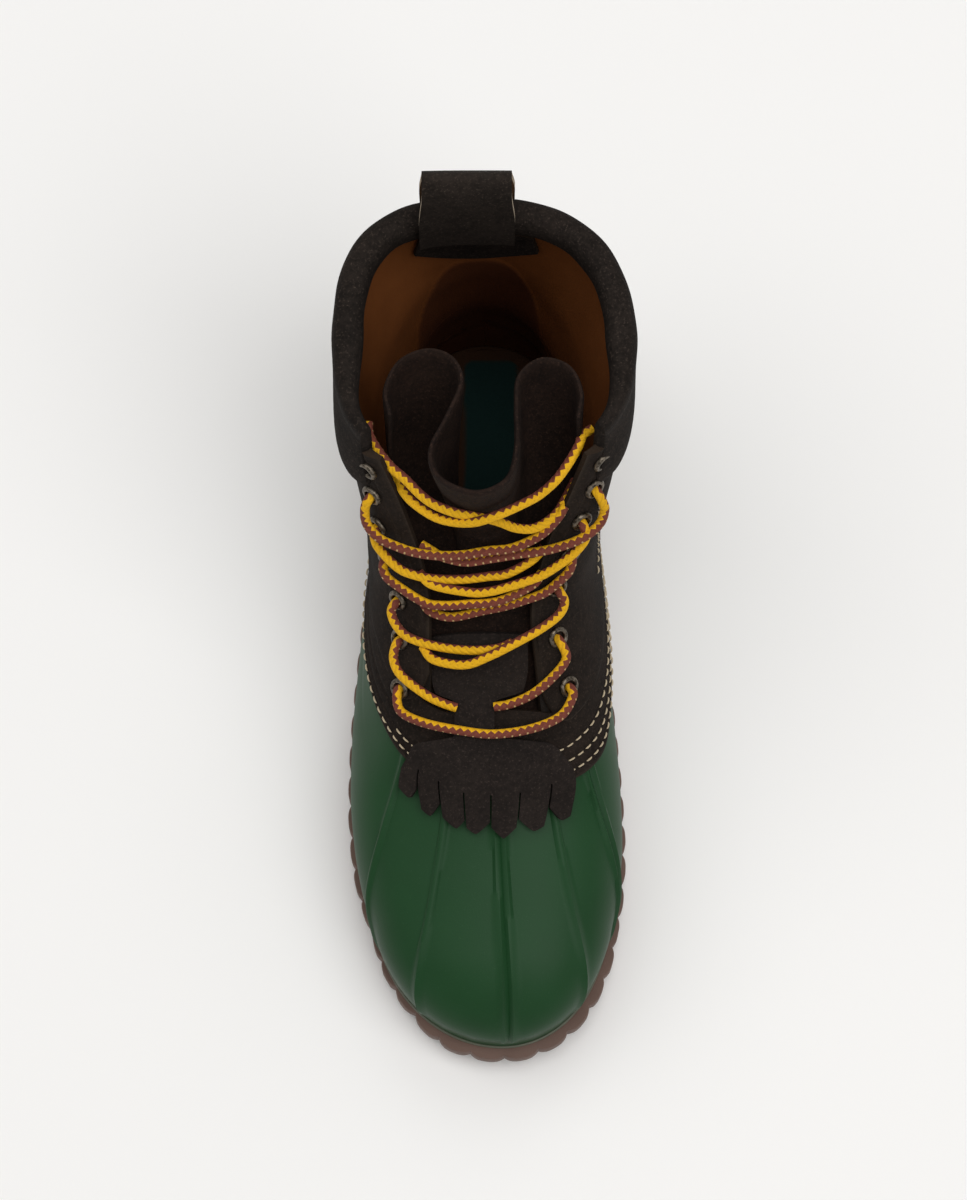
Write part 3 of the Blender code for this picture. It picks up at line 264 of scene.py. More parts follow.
def cast(origin, aim):
    """Where rays from inside the body first leave its skin, by marching and then halving."""
    aim = aim / np.linalg.norm(aim, axis=-1, keepdims=True)
    steps = np.linspace(0.0, REACH, 101)
    low = np.zeros(origin.shape[:-1])
    high = np.full(origin.shape[:-1], REACH)
    found = np.zeros(origin.shape[:-1], bool)
    for s0, s1 in zip(steps[:-1], steps[1:]):
        p = origin + aim * s1
        out = (body_field(p[..., 0], p[..., 1], p[..., 2]) > 0) & ~found
        low[out] = s0
        high[out] = s1
        found |= out
        if found.all():
            break
    for _ in range(18):
        mid = (low + high) / 2
        p = origin + aim * mid[..., None]
        out = body_field(p[..., 0], p[..., 1], p[..., 2]) > 0
        high = np.where(out, mid, high)
        low = np.where(out, low, mid)
    return origin + aim * ((low + high) / 2)[..., None]


def skin_normal(p):
    """Outward unit normals of the skin, from central differences of the field."""
    e = 0.4
    parts = []
    for axis in range(3):
        d = np.zeros(3)
        d[axis] = e
        a = p + d
        b = p - d
        parts.append(
            body_field(a[..., 0], a[..., 1], a[..., 2]) - body_field(b[..., 0], b[..., 1], b[..., 2])
        )
    n = np.stack(parts, axis=-1)
    return n / np.linalg.norm(n, axis=-1, keepdims=True)


def offset(points, amount, normal=None):
    """Points moved out along the skin's normals by millimetres (per row or per point)."""
    amount = np.broadcast_to(np.asarray(amount, float), points.shape[:-1])
    normal = skin_normal(points) if normal is None else normal
    return points + normal * amount[..., None]


def stack(x, t, z):
    """Points from three arrays of coordinates that fit one another."""
    return np.stack(np.broadcast_arrays(x, t, z), axis=-1).astype(float)


def front_point(x, z, from_t=235.0):
    """The skin in front of a point x, z, looking forward from inside the shaft."""
    x, z, from_t = np.broadcast_arrays(x, z, from_t)
    return cast(stack(x, from_t, z), stack(0.0 * x, -1.0 + 0.0 * x, 0.0 * x))


def top_point(x, t):
    """The skin above a point x, t of the vamp."""
    x, t = np.broadcast_arrays(x, t)
    return cast(stack(x, t, SPINE_Z), stack(0.0 * x, 0.0 * x, 1.0 + 0.0 * x))


# Meridians from the sole edge to the leather, as in the part

def read_side(table, steps):
    """Every meridian value at fractional rows of a side table, by a smooth curve."""
    indexed = np.column_stack([np.arange(len(table)), table])
    names = ("row",) + MERIDIAN_COLUMNS
    return {n: smooth(indexed, names, n, steps) for n in MERIDIAN_COLUMNS}


def meridians(per_row):
    """All meridians in one ring: front centre, inner side, heel, and back along the outer side."""
    inner_steps = np.linspace(0, len(INNER_SIDE) - 1, (len(INNER_SIDE) - 1) * per_row + 1)
    outer_steps = np.linspace(0, len(OUTER_SIDE) - 1, (len(OUTER_SIDE) - 1) * per_row + 1)
    inner = read_side(INNER_SIDE, inner_steps)
    outer = read_side(OUTER_SIDE, outer_steps[1:-1])
    ring = {n: np.concatenate([inner[n], outer[n][::-1]]) for n in MERIDIAN_COLUMNS}
    ring["step"] = np.concatenate([inner_steps, -outer_steps[1:-1][::-1]])
    return ring


def sole_rays(ring, z):
    """Level rays from the core line to the skin just above the sole."""
    turn = np.radians(ring["turn"])
    core = stack(smooth(FOOT, FOOT_COLUMNS, "crest_x", ring["core"]) * 0.5, ring["core"], z)
    return core, stack(np.sin(turn), -np.cos(turn), np.zeros_like(turn))


def climb_rays(ring, to):
    """Rays from the upper core line towards the seam or band targets of every meridian."""
    core = stack(ring[to + "_x"] * 0.25, ring["upper_core"], SPINE_Z)
    return core, stack(ring[to + "_x"], ring[to + "_t"], ring[to + "_z"]) - core


def blended_rays(first, last, amount):
    """Rays part of the way between two sets of rays."""
    unit = [a / np.linalg.norm(a, axis=-1, keepdims=True) for a in (first[1], last[1])]
    core = first[0] * (1 - amount) + last[0] * amount
    return core, unit[0] * (1 - amount) + unit[1] * amount


def lower_rays(ring):
    """The rays of the sole edge, the leather's edge and the top of the sewn band."""
    z = sole_top(ring["core"] - np.cos(np.radians(ring["turn"])) * 45.0)
    first = cast(*sole_rays(ring, z + GAP))
    for _ in range(3):
        sole = sole_rays(ring, sole_top(first[:, 1]) + GAP)
        first = cast(*sole)
    return sole, climb_rays(ring, "seam"), climb_rays(ring, "band")


def throat_point(z, side):
    """The skin point on an eyestay's front edge at one height."""
    x = side * smooth(THROAT, THROAT_COLUMNS, "right" if side > 0 else "left", z)
    return front_point(x, z, smooth(SHAFT, SHAFT_COLUMNS, "wide_t", z))


def shaft_columns(ring):
    """Indices of the meridians outside the throat, from the inner eyestay round the heel."""
    inner_edge = int(np.argmin(np.abs(ring["step"] - 1.0)))
    outer_edge = int(np.argmin(np.abs(ring["step"] + 2.0)))
    return np.arange(inner_edge, outer_edge + 1)


def upper_row(base, z):
    """One row of the shaft round the heel, from eyestay to eyestay, at the heights z."""
    axis = smooth(SHAFT, SHAFT_COLUMNS, "wide_t", np.maximum(z, 90.0))
    turn0 = np.degrees(np.arctan2(base[:, 0], axis - base[:, 1]))
    turn0 = np.where(turn0 < -1e-6, turn0 + 360.0, turn0)
    inner = throat_point(z[0], 1.0)
    outer = throat_point(z[-1], -1.0)
    start = math.degrees(math.atan2(inner[0], axis[0] - inner[1]))
    end = 360.0 + math.degrees(math.atan2(outer[0], axis[-1] - outer[1]))
    part = (turn0 - turn0[0]) / (turn0[-1] - turn0[0])
    turn = np.radians(start + (end - start) * part)
    return cast(stack(0.0, axis, z), stack(np.sin(turn), -np.cos(turn), 0.0 * turn))


# Meshes

SHARP = 40.0            # edges folded by more degrees than this are drawn hard


def place(p):
    """Boot millimetres (x, t, z) to the frame's metres."""
    return np.stack([p[..., 0], p[..., 1] - LENGTH / 2, p[..., 2]], axis=-1) * MM


def mesh_piece(name, verts, faces, slots, materials, sharp=SHARP):
    """A named piece from points in boot millimetres, quads, and each face's material slot."""
    mesh = bpy.data.meshes.new(name)
    mesh.from_pydata(place(verts).tolist(), [], faces.tolist())
    for mat in materials:
        mesh.materials.append(mat)
    mesh.polygons.foreach_set("material_index", np.asarray(slots, np.int32))
    mesh.shade_smooth()
    mesh.set_sharp_from_angle(angle=math.radians(sharp))
    mesh.update()
    obj = bpy.data.objects.new(name, mesh)
    bpy.context.scene.collection.objects.link(obj)
    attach(obj, "root")
    return obj


def wall_faces(cells, wrap):
    """Quads of a wall between two grids, outer points first, and a slot number for each.

    A cell (i, j) joins points i, i+1 and j, j+1. Outer faces have slot 0, inner faces 1, and the
    rim, one strip along every cell edge that has no neighbour, 2.
    """
    rows, cols = cells.shape[0] + 1, cells.shape[1] + (0 if wrap else 1)
    index = np.arange(rows * cols).reshape(rows, cols)
    right = np.roll(index, -1, axis=1)
    if not wrap:
        right = right[:, :-1]
        index = index[:, :-1]
    a, b, c, d = index[:-1], right[:-1], right[1:], index[1:]
    outer = np.stack([a, b, c, d], axis=-1)[cells]
    size = rows * cols
    inner = outer[:, ::-1] + size
    none_row = np.zeros((1, cells.shape[1]), bool)
    below = np.concatenate([none_row, cells[:-1]])
    above = np.concatenate([cells[1:], none_row])
    if wrap:
        before, after = np.roll(cells, 1, axis=1), np.roll(cells, -1, axis=1)
    else:
        none_col = np.zeros((cells.shape[0], 1), bool)
        before = np.concatenate([none_col, cells[:, :-1]], axis=1)
        after = np.concatenate([cells[:, 1:], none_col], axis=1)
    rim = []
    for p, q, beside in ((a, b, below), (b, c, after), (c, d, above), (d, a, before)):
        free = cells & ~beside
        rim.append(np.stack([q[free], p[free], p[free] + size, q[free] + size], axis=-1))
    rim = np.concatenate(rim)
    faces = np.concatenate([outer, inner, rim])
    slots = np.repeat([0, 1, 2], [len(outer), len(inner), len(rim)])
    return faces, slots


def wall(name, outer, inner, materials, cells=None, wrap=False, marks=None, sharp=SHARP):
    """A wall of cloth, leather or rubber between an outer and an inner grid of points."""
    rows, cols = outer.shape[:2]
    if cells is None:
        cells = np.ones((rows - 1, cols if wrap else cols - 1), bool)
    faces, slots = wall_faces(cells, wrap)
    verts = np.concatenate([outer.reshape(-1, 3), inner.reshape(-1, 3)])
    used = np.zeros(len(verts), bool)
    used[faces] = True
    renumber = np.cumsum(used) - 1
    obj = mesh_piece(name, verts[used], renumber[faces], slots, materials, sharp)
    for mark, values in (marks or {}).items():
        both = np.concatenate([np.asarray(v, float).reshape(-1) for v in values])
        layer = obj.data.attributes.new(mark, "FLOAT", "POINT")
        layer.data.foreach_set("value", both[used].astype(np.float32))
    turn_outwards(obj)
    return obj


def turn_outwards(obj):
    """Flip a closed piece whose volume, the sum of its triangles' wedges, comes out negative."""
    mesh = obj.data
    mesh.calc_loop_triangles()
    co = np.zeros(len(mesh.vertices) * 3)
    mesh.vertices.foreach_get("co", co)
    co = co.reshape(-1, 3)
    tri = np.zeros(len(mesh.loop_triangles) * 3, np.int32)
    mesh.loop_triangles.foreach_get("vertices", tri)
    a, b, c = (co[tri.reshape(-1, 3)[:, k]] for k in range(3))
    if np.einsum("ij,ij->i", a, np.cross(b, c)).sum() < 0:
        mesh.flip_normals()


TUBE_UP = (0.0, 0.25, 1.0)      # the side of a cord that its turns are counted from


def tube(name, path, radius, sides, material, roll=0.0):
    """A round cord: circles of the radius square to a path, with flat ends.

    The attribute "along" is millimetres along it, and "cos" and "sin" place a point round it,
    turned by roll, a share of a turn that may change along the path.
    """
    tangent = np.gradient(path, axis=0)
    tangent /= np.linalg.norm(tangent, axis=1, keepdims=True)
    side = np.cross(tangent, np.asarray(TUBE_UP))
    side /= np.linalg.norm(side, axis=1, keepdims=True)
    lift = np.cross(side, tangent)
    turns = np.arange(sides + 1) / sides
    angle = 2 * np.pi * turns[None, :]
    radius = np.broadcast_to(radius, len(path))[:, None]
    rings = (path[:, None] + side[:, None] * (radius * np.cos(angle))[..., None]
             + lift[:, None] * (radius * np.sin(angle))[..., None])
    n = len(path)
    ring = np.arange(n * sides).reshape(n, sides)
    nxt = np.roll(ring, -1, axis=1)
    faces = np.stack([ring[:-1], nxt[:-1], nxt[1:], ring[1:]], axis=-1).reshape(-1, 4)
    verts = rings[:, :-1].reshape(-1, 3)
    ends = np.array([path[0], path[-1]])
    total = len(verts)
    first = np.stack([nxt[0], ring[0], np.full(sides, total)], axis=-1)
    last = np.stack([ring[-1], nxt[-1], np.full(sides, total + 1)], axis=-1)
    mesh = bpy.data.meshes.new(name)
    mesh.from_pydata(place(np.concatenate([verts, ends])).tolist(), [],
                     faces.tolist() + first.tolist() + last.tolist())
    mesh.materials.append(material)
    mesh.shade_smooth()
    mesh.set_sharp_from_angle(angle=math.radians(50))
    along = np.concatenate([[0], np.cumsum(np.linalg.norm(np.diff(path, axis=0), axis=1))])
    roll = np.broadcast_to(roll, n)
    u = np.concatenate([np.repeat(along, sides), along[[0, -1]]])
    v = np.concatenate([(turns[None, :-1] + roll[:, None]).reshape(-1), [0.0, 0.0]])
    for mark, values in (("along", u), ("cos", np.cos(2 * np.pi * v)), ("sin", np.sin(2 * np.pi * v))):
        layer = mesh.attributes.new(mark, "FLOAT", "POINT")
        layer.data.foreach_set("value", values.astype(np.float32))
    obj = bpy.data.objects.new(name, mesh)
    bpy.context.scene.collection.objects.link(obj)
    turn_outwards(obj)
    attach(obj, "root")
    return obj


def spaced(points, step):
    """The same open curve with points a step apart along it, by straight interpolation."""
    along = np.concatenate([[0], np.cumsum(np.linalg.norm(np.diff(points, axis=0), axis=1))])
    even = np.linspace(0, along[-1], max(int(round(along[-1] / step)), 3) + 1)
    return np.column_stack([np.interp(even, along, points[:, i]) for i in range(3)])


# Finishes

class Value:
    """A number that changes over a surface: arithmetic on it adds Math nodes to its finish."""

    def __init__(self, finish, link):
        self.finish = finish
        self.link = link

    def math(self, operation, a, b=0.0):
        return self.finish.node("ShaderNodeMath", {"operation": operation}, {0: a, 1: b})

    def __add__(self, other):
        return self.math("ADD", self, other)

    def __sub__(self, other):
        return self.math("SUBTRACT", self, other)

    def __rsub__(self, other):
        return self.math("SUBTRACT", other, self)

    def __mul__(self, other):
        return self.math("MULTIPLY", self, other)

    __radd__ = __add__
    __rmul__ = __mul__


class Finish:
    """One material: a Principled shader whose changing inputs come from nodes."""

    def __init__(self, name, roughness, **steady):
        self.mat = bpy.data.materials.new(name)
        self.mat.use_nodes = True
        self.tree = self.mat.node_tree
        self.shader = self.tree.nodes["Principled BSDF"]
        self.shader.inputs["Roughness"].default_value = roughness
        for socket, value in steady.items():
            self.shader.inputs[socket.replace("_", " ")].default_value = value

    def node(self, kind, settings, inputs, output=0):
        """Add a node: its settings first, then values or links for its sockets."""
        made = self.tree.nodes.new(kind)
        for name, value in settings.items():
            setattr(made, name, value)
        for name, value in inputs.items():
            if isinstance(value, Value):
                self.tree.links.new(value.link, made.inputs[name])
            else:
                made.inputs[name].default_value = value
        return Value(self, made.outputs[output])

    def feed(self, socket, value):
        self.tree.links.new(value.link, self.shader.inputs[socket])

    def noise(self, scale, detail=2.0, roughness=0.5):
        """Smooth noise from 0 to 1 in the boot's own space, with features of about 1 / scale metres."""
        where = self.node("ShaderNodeTexCoord", {}, {}, output="Object")
        return self.node("ShaderNodeTexNoise", {}, {
            "Vector": where, "Scale": scale, "Detail": detail, "Roughness": roughness})

    def mark(self, name):
        """A value kept on the mesh's points."""
        return self.node("ShaderNodeAttribute", {"attribute_name": name}, {}, output="Fac")

    def step(self, value, low, high):
        """0 below low and 1 above high, with a smooth step between."""
        return self.node("ShaderNodeMapRange", {"interpolation_type": "SMOOTHSTEP"}, {
            "Value": value, "From Min": low, "From Max": high})

    def mix(self, first, second, amount):
        """A colour between two colours; sockets 6 and 7 of the Mix node are its colours."""
        sides = [v if isinstance(v, Value) else (*v, 1.0) for v in (first, second)]
        return self.node("ShaderNodeMix", {"data_type": "RGBA"}, {
            0: amount, 6: sides[0], 7: sides[1]}, output=2)

    def relief(self, height, distance, strength=1.0):
        """Bump from a height of 0 to 1, worth distance metres."""
        bump = self.node("ShaderNodeBump", {}, {
            "Height": height, "Distance": distance, "Strength": strength}, output="Normal")
        self.feed("Normal", bump)


def green_rubber():
    """Moulded rubber: forest green, fine speckle, soft gloss, slightly uneven."""
    f = Finish("green_rubber", 0.42, Specular_IOR_Level=0.2)
    blotch = f.noise(30.0, 3.0)
    speckle = f.noise(1500.0, 2.0, 0.7)
    colour = f.mix((0.007, 0.040, 0.011), (0.011, 0.057, 0.017), blotch)
    colour = f.mix(colour, (0.05, 0.11, 0.055), f.step(speckle, 0.60, 0.80) * 0.25)
    f.feed("Base Color", colour)
    f.feed("Roughness", 0.38 + 0.12 * blotch + 0.10 * speckle)
    f.relief(0.7 * speckle + 0.3 * f.noise(420.0, 2.0), 0.00010, 0.5)
    return f.mat


def sole_rubber():
    """Brown gum rubber: matt, with fine mould grain and a little dust in the chain."""
    f = Finish("sole_rubber", 0.55, Specular_IOR_Level=0.3)
    blotch = f.noise(45.0, 3.0)
    grain = f.noise(1400.0, 2.0, 0.7)
    colour = f.mix((0.105, 0.060, 0.045), (0.16, 0.096, 0.073), blotch)
    f.feed("Base Color", f.mix(colour, (0.24, 0.17, 0.13), f.step(grain, 0.62, 0.8) * 0.4))
    f.feed("Roughness", 0.5 + 0.2 * grain)
    f.relief(grain, 0.00014, 0.6)
    return f.mat


def nubuck(name, dark, light, edge=None, speck=3.2):
    """Buffed leather: a short nap of three scales, pale specks, and paler rubbed edges."""
    f = Finish(name, 0.9, Specular_IOR_Level=0.12)
    cloud = f.noise(60.0, 3.0, 0.6)
    patchy = f.noise(430.0, 3.0, 0.65)
    nap = f.noise(1050.0, 3.0, 0.75)
    fine = f.noise(2300.0, 2.0, 0.7)
    tone = f.step(0.35 * cloud + 0.4 * patchy + 0.25 * nap, 0.36, 0.64)
    colour = f.mix(dark, light, tone)
    colour = f.mix(colour, tuple(speck * c for c in light), f.step(nap, 0.55, 0.72) * 0.5)
    colour = f.mix(colour, tuple(0.35 * c for c in dark), f.step(fine, 0.62, 0.75) * 0.6)
    if edge:
        colour = f.mix(colour, edge, f.mark("edge"))
    f.feed("Base Color", colour)
    f.feed("Roughness", 0.78 + 0.2 * nap)
    f.relief(0.6 * nap + 0.5 * patchy + 0.3 * fine, 0.0004, 0.8)
    return f.mat


def raw_edge():
    """The cut edge of the leather: tan fibres."""
    f = Finish("raw_edge", 0.9, Specular_IOR_Level=0.1)
    fibre = f.noise(900.0, 3.0, 0.7)
    f.feed("Base Color", f.mix((0.014, 0.009, 0.006), (0.042, 0.028, 0.019), fibre))
    f.relief(fibre, 0.0002, 0.8)
    return f.mat


def lining():
    """Linings: tan leather at the sides, a darker panel at the heel that is painted shade, and dark
    facings in front.
    """
    f = Finish("lining", 0.75, Specular_IOR_Level=0.2)
    cloud = f.noise(70.0, 4.0)
    nap = f.noise(1300.0, 3.0, 0.7)
    side = f.mix((0.135, 0.040, 0.008), (0.205, 0.066, 0.015), cloud)
    # painted shade: the heel panel's darker brown stands for shade low in the heel
    shaded_panel = f.mix((0.070, 0.019, 0.005), (0.105, 0.032, 0.009), cloud)
    colour = f.mix(side, shaded_panel, f.mark("shaded_panel"))
    colour = f.mix(colour, (0.011, 0.0075, 0.0055), f.mark("facing"))
    f.feed("Base Color", f.mix(colour, (0.26, 0.12, 0.045), f.step(nap, 0.62, 0.8) * 0.25))
    f.relief(0.8 * nap, 0.0003, 0.7)
    return f.mat


def insole_cloth():
    """Footbed: tan cover with a bare green patch under the heel."""
    f = Finish("insole_cloth", 0.85, Specular_IOR_Level=0.15)
    nap = f.noise(1200.0, 3.0, 0.7)
    cover = f.mix((0.030, 0.013, 0.006), (0.05, 0.022, 0.010), f.noise(60.0, 3.0))
    patch = f.mix((0.005, 0.020, 0.018), (0.010, 0.032, 0.028), nap)
    f.feed("Base Color", f.mix(cover, patch, f.mark("patch")))
    f.relief(nap, 0.0003, 0.7)
    return f.mat


def eyelet_metal():
    """Antiqued brass: dark and rubbed bright in patches that change at random."""
    f = Finish("eyelet_metal", 0.38, Metallic=1.0)
    wear = f.noise(700.0, 3.0)
    f.feed("Base Color", f.mix((0.06, 0.05, 0.038), (0.22, 0.185, 0.145), f.step(wear, 0.35, 0.65)))
    f.feed("Roughness", 0.3 + 0.3 * wear)
    return f.mat


def lace_cord():
    """Round braid, half yellow and half red brown, meeting in a zigzag.

    along counts millimetres and cos, sin place a point round the cord. The halves part where
    cos passes a triangle wave of the braid's pitch. Two slanting waves raise the strands, with
    painted shade in the gaps between them, and a pale spot of painted highlight lies at the
    brown's far edge once a pitch.
    """
    pitch = 2.9
    f = Finish("lace_cord", 0.8, Specular_IOR_Level=0.2)
    along, across, height = f.mark("along"), f.mark("cos"), f.mark("sin")
    wave = along.math("PINGPONG", along, pitch / 2) * (2 / pitch)
    brown_side = f.step(across + 0.7 * (wave - 0.5), 0.0, 0.10)
    nap = f.noise(1800.0, 2.0, 0.7)
    yellow = f.mix((0.60, 0.30, 0.006), (0.92, 0.52, 0.014), nap)
    brown = f.mix((0.10, 0.022, 0.014), (0.25, 0.070, 0.045), nap)
    colour = f.mix(yellow, brown, brown_side)
    turn = along * (2 * math.pi / pitch)
    strand = turn.math("SINE", turn + 5.0 * across)
    other = turn.math("SINE", turn - 5.0 * height)
    weave = 0.5 + 0.25 * strand + 0.25 * other
    # painted shade: the gaps between the raised strands are darkened
    colour = f.mix(colour, (0.06, 0.018, 0.006), (1.0 - f.step(weave, 0.02, 0.25)) * 0.2)
    beat = turn.math("SINE", turn)
    # painted highlight: a pale spot at the brown's far edge of the cord, once a pitch
    edge_highlight = f.step(across, 0.90, 0.97) * f.step(beat, 0.65, 0.9)
    colour = f.mix(colour, (0.55, 0.38, 0.17), edge_highlight)
    f.feed("Base Color", colour)
    f.relief(weave, 0.0003, 0.8)
    return f.mat


def thread():
    """Heavy cream waxed thread."""
    f = Finish("thread", 0.6, Specular_IOR_Level=0.25)
    fibre = f.noise(1500.0, 3.0, 0.7)
    f.feed("Base Color", f.mix((0.36, 0.27, 0.16), (0.66, 0.56, 0.40), fibre))
    f.relief(fibre, 0.0002, 0.8)
    return f.mat


def bead():
    """The pale line of rubber between shell and sole."""
    f = Finish("bead", 0.5)
    f.feed("Base Color", f.mix((0.07, 0.085, 0.055), (0.13, 0.13, 0.09), f.noise(300.0, 2.0)))
    return f.mat


def plain_floor():
    """The studio's pale paper."""
    f = Finish("floor_paper", 0.9)
    f.shader.inputs["Base Color"].default_value = (0.93, 0.92, 0.905, 1.0)
    return f.mat


GREEN = green_rubber()
BROWN_SOLE = sole_rubber()
NUBUCK = nubuck("nubuck", (0.0095, 0.0068, 0.0052), (0.021, 0.0145, 0.011), (0.040, 0.029, 0.021))
TONGUE_SUEDE = nubuck("tongue_suede", (0.0085, 0.0050, 0.0038), (0.021, 0.0115, 0.0080))
KILTIE_SUEDE = nubuck("kiltie_suede", (0.011, 0.0082, 0.0070), (0.021, 0.0155, 0.0130))
COLLAR_LEATHER = nubuck("collar_leather", (0.0078, 0.0058, 0.0046), (0.021, 0.0155, 0.0125), speck=4.0)
STRAP_LEATHER = nubuck("strap_leather", (0.012, 0.009, 0.0072), (0.026, 0.0195, 0.0155), speck=3.6)
STRAP_INNER = nubuck("strap_inner", (0.09, 0.045, 0.022), (0.16, 0.085, 0.045))
RAW_EDGE = raw_edge()
LINING = lining()
INSOLE_CLOTH = insole_cloth()
METAL = eyelet_metal()
LACE_CORD = lace_cord()
THREAD = thread()
CREAM_EDGE = nubuck("cream_edge", (0.22, 0.17, 0.12), (0.38, 0.31, 0.23))
BEAD = bead()


# The rubber foot

PER_ROW = 22
RING = meridians(PER_ROW)
SOLE_RAYS, SEAM_RAYS, BAND_RAYS = lower_rays(RING)
SINGLE_RIBS = (1.0, -1.0, -3.0)      # ring steps of the plain toe ribs
DOUBLE_RIBS = (0.0, 2.0)             # and of the ribs with a groove down their middle
RIB_HALF_WIDTH = 1.7
TWIN_RIB_APART = 3.8
TWIN_RIB_HALF_WIDTH = 1.35


def rows_between(first, last, shares):
    """The skin along rays part of the way between two sets, one row for each share."""
    rays = [blended_rays(first, last, a) for a in shares]
    return cast(np.array([r[0] for r in rays]), np.array([r[1] for r in rays]))


def rib_relief(grid, climb):
    """Raised toe ribs: a rounded ridge by the distance d from each rib's meridian, row by row.

    A plain rib is (1 - (d / w)^2)^0.7. A double one is two narrow ridges beside its middle.
    """
    relief = np.zeros(grid.shape[:2])
    for step in SINGLE_RIBS + DOUBLE_RIBS:
        column = int(np.argmin(np.abs(RING["step"] - step)))
        away = np.linalg.norm(grid - grid[:, column:column + 1], axis=-1)
        if step in DOUBLE_RIBS:
            away = np.abs(away - TWIN_RIB_APART / 2)
            shape = np.maximum(1.0 - (away / TWIN_RIB_HALF_WIDTH) ** 2, 0.0)
        else:
            shape = np.maximum(1.0 - (away / RIB_HALF_WIDTH) ** 2, 0.0)
        relief = np.maximum(relief, shape ** 0.7)
    start = fade(climb, 0.10, 0.22)
    return RIB_HEIGHT * relief * start[:, None]


def rubber_shell():
    """The skin from the sole to under the leather, ribbed at the toe, over a 3 mm wall."""
    climb = np.linspace(0.0, 1.0, 62)
    grid = np.concatenate([
        rows_between(SOLE_RAYS, SEAM_RAYS, climb),
        rows_between(SEAM_RAYS, BAND_RAYS, (0.12, 0.3, 0.55)),
    ])
    height = np.concatenate([climb, (1.1, 1.3, 1.5)])
    normal = skin_normal(grid)
    outer = offset(grid, rib_relief(grid, height) - GAP / 2, normal)
    outer[0, :, 2] -= GAP
    inner = offset(grid, -GAP / 2 - RUBBER_WALL, normal)
    inner[0, :, 2] = outer[0, :, 2]
    shell = wall("rubber_shell_skin", outer, inner, [GREEN, GREEN, GREEN], wrap=True)
    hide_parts("rubber_shell")


# The leather shaft

CREASES = (      # from, to, half width, depth: soft troughs where the shaft has bent
    ((33, 158, 108), (37, 146, 95), 4.0, 0.7),
    ((44, 176, 96), (46, 205, 84), 5.5, 0.9),
    ((45, 186, 118), (47, 214, 108), 6.0, 0.7),
    ((-43, 170, 92), (-46, 202, 84), 5.5, 0.9),
    ((-42, 180, 116), (-47, 212, 106), 6.0, 0.8),
    ((-20, 285, 100), (22, 285, 104), 6.0, 0.8),
)


def creased(points):
    """Depth of the listed creases: each falls off as exp(-(distance / width)^2)."""
    depth = np.zeros(points.shape[:-1])
    for start, end, width, deep in CREASES:
        a = np.array(start, float)
        b = np.array(end, float) - a
        along = np.clip(((points - a) @ b) / (b @ b), 0.0, 1.0)
        away = np.linalg.norm(points - a - along[..., None] * b, axis=-1)
        fadeout = 1.0 - 0.7 * np.abs(2 * along - 1.0)
        depth += deep * fadeout * np.exp(-(away / width) ** 2)
    return depth


def lengths(points, axis):
    """Distance along a grid's rows or columns from their first point."""
    step = np.linalg.norm(np.diff(points, axis=axis), axis=-1)
    zero = np.zeros_like(np.take(step, [0], axis=axis))
    return np.concatenate([zero, np.cumsum(step, axis=axis)], axis=axis)


BAND_SEAMS = (0.18, 0.38, 0.64)      # stitch rows across the sewn band, as shares of its width


def sewn_band():
    """The leather's lowest layer: a band over the rubber's edge, dented along its seams."""
    share = np.linspace(0.0, 1.35, 40)
    grid = rows_between(SEAM_RAYS, BAND_RAYS, share)
    down = lengths(grid, 0)
    lift = LEATHER_WALL + GAP / 2 - 0.7 * np.exp(-(down / 0.7) ** 2)
    for seam in BAND_SEAMS:
        lift = lift - 0.35 * np.exp(-((share[:, None] - seam) / 0.045) ** 2)
    outer = offset(grid, lift)
    inner = offset(grid, GAP / 2 - 0.1)
    edge = np.exp(-(down / 0.9) ** 2) * 0.6
    band = wall("sewn_band", outer, inner, [NUBUCK, LINING, RAW_EDGE], wrap=True,
                marks={"edge": (edge, 0 * edge)})


def quarter_base():
    """The band's top row round the heel, where the quarters begin."""
    cols = shaft_columns(RING)
    return cast(*climb_rays({n: RING[n][cols] for n in MERIDIAN_COLUMNS}, "band"))


def shaft_rows(shares, top, round_corner=0.0):
    """Rows of the shaft from the band up to a height, with the lower front corners rounded.

    A corner rises by r - sqrt(r^2 - (r - d)^2) at a distance d under r from the throat.
    """
    base = quarter_base()
    along = lengths(base[None], 1)[0]
    d = np.minimum(along, along[-1] - along)
    r = max(round_corner, 0.001)
    rise = np.where(d < r, r - np.sqrt(np.maximum(r * r - (r - d) ** 2, 0.0)), 0.0)
    low = base[:, 2] + rise
    return np.array([upper_row(base, low + (top - low) * f) for f in shares])


def quarters():
    """The quarters and eyestays: one raised layer from the band to the collar.

    Within 6 mm of the throat its face rolls down to the facing; creases sink it at the ankle.
    """
    shares = np.concatenate([[0.0, 0.006, 0.014], np.linspace(0.03, 1.0, 84)])
    grid = shaft_rows(shares, SHAFT_TOP + 1.5, round_corner=11.0)
    across = lengths(grid, 1)
    edge = np.minimum(across, across[:, -1:] - across)
    down = lengths(grid, 0)
    roll = 1.0 - fade(edge, 0.0, 6.5)
    lift = LEATHER_WALL + QUARTER_STEP + GAP / 2 + 0.15
    lift = lift - 1.7 * roll ** 1.5 - 0.8 * np.exp(-(down / 0.6) ** 2) - creased(grid)
    lift = lift - 0.35 * np.exp(-((edge - 6.8) / 0.6) ** 2)
    outer = offset(grid, lift)
    inner = offset(grid, GAP / 2 - 0.4 * roll)
    pale = 0.55 * np.exp(-(edge / 1.2) ** 2) + 0.35 * np.exp(-((edge - 6.4) / 0.7) ** 2)
    pale = pale + 0.8 * np.exp(-(down / 0.5) ** 2) + 0.22 * roll
    piece = wall("quarters", outer, inner, [NUBUCK, LINING, RAW_EDGE],
                 marks={"edge": (np.clip(pale, 0, 1), 0 * pale)})
    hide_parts("leather_shaft")


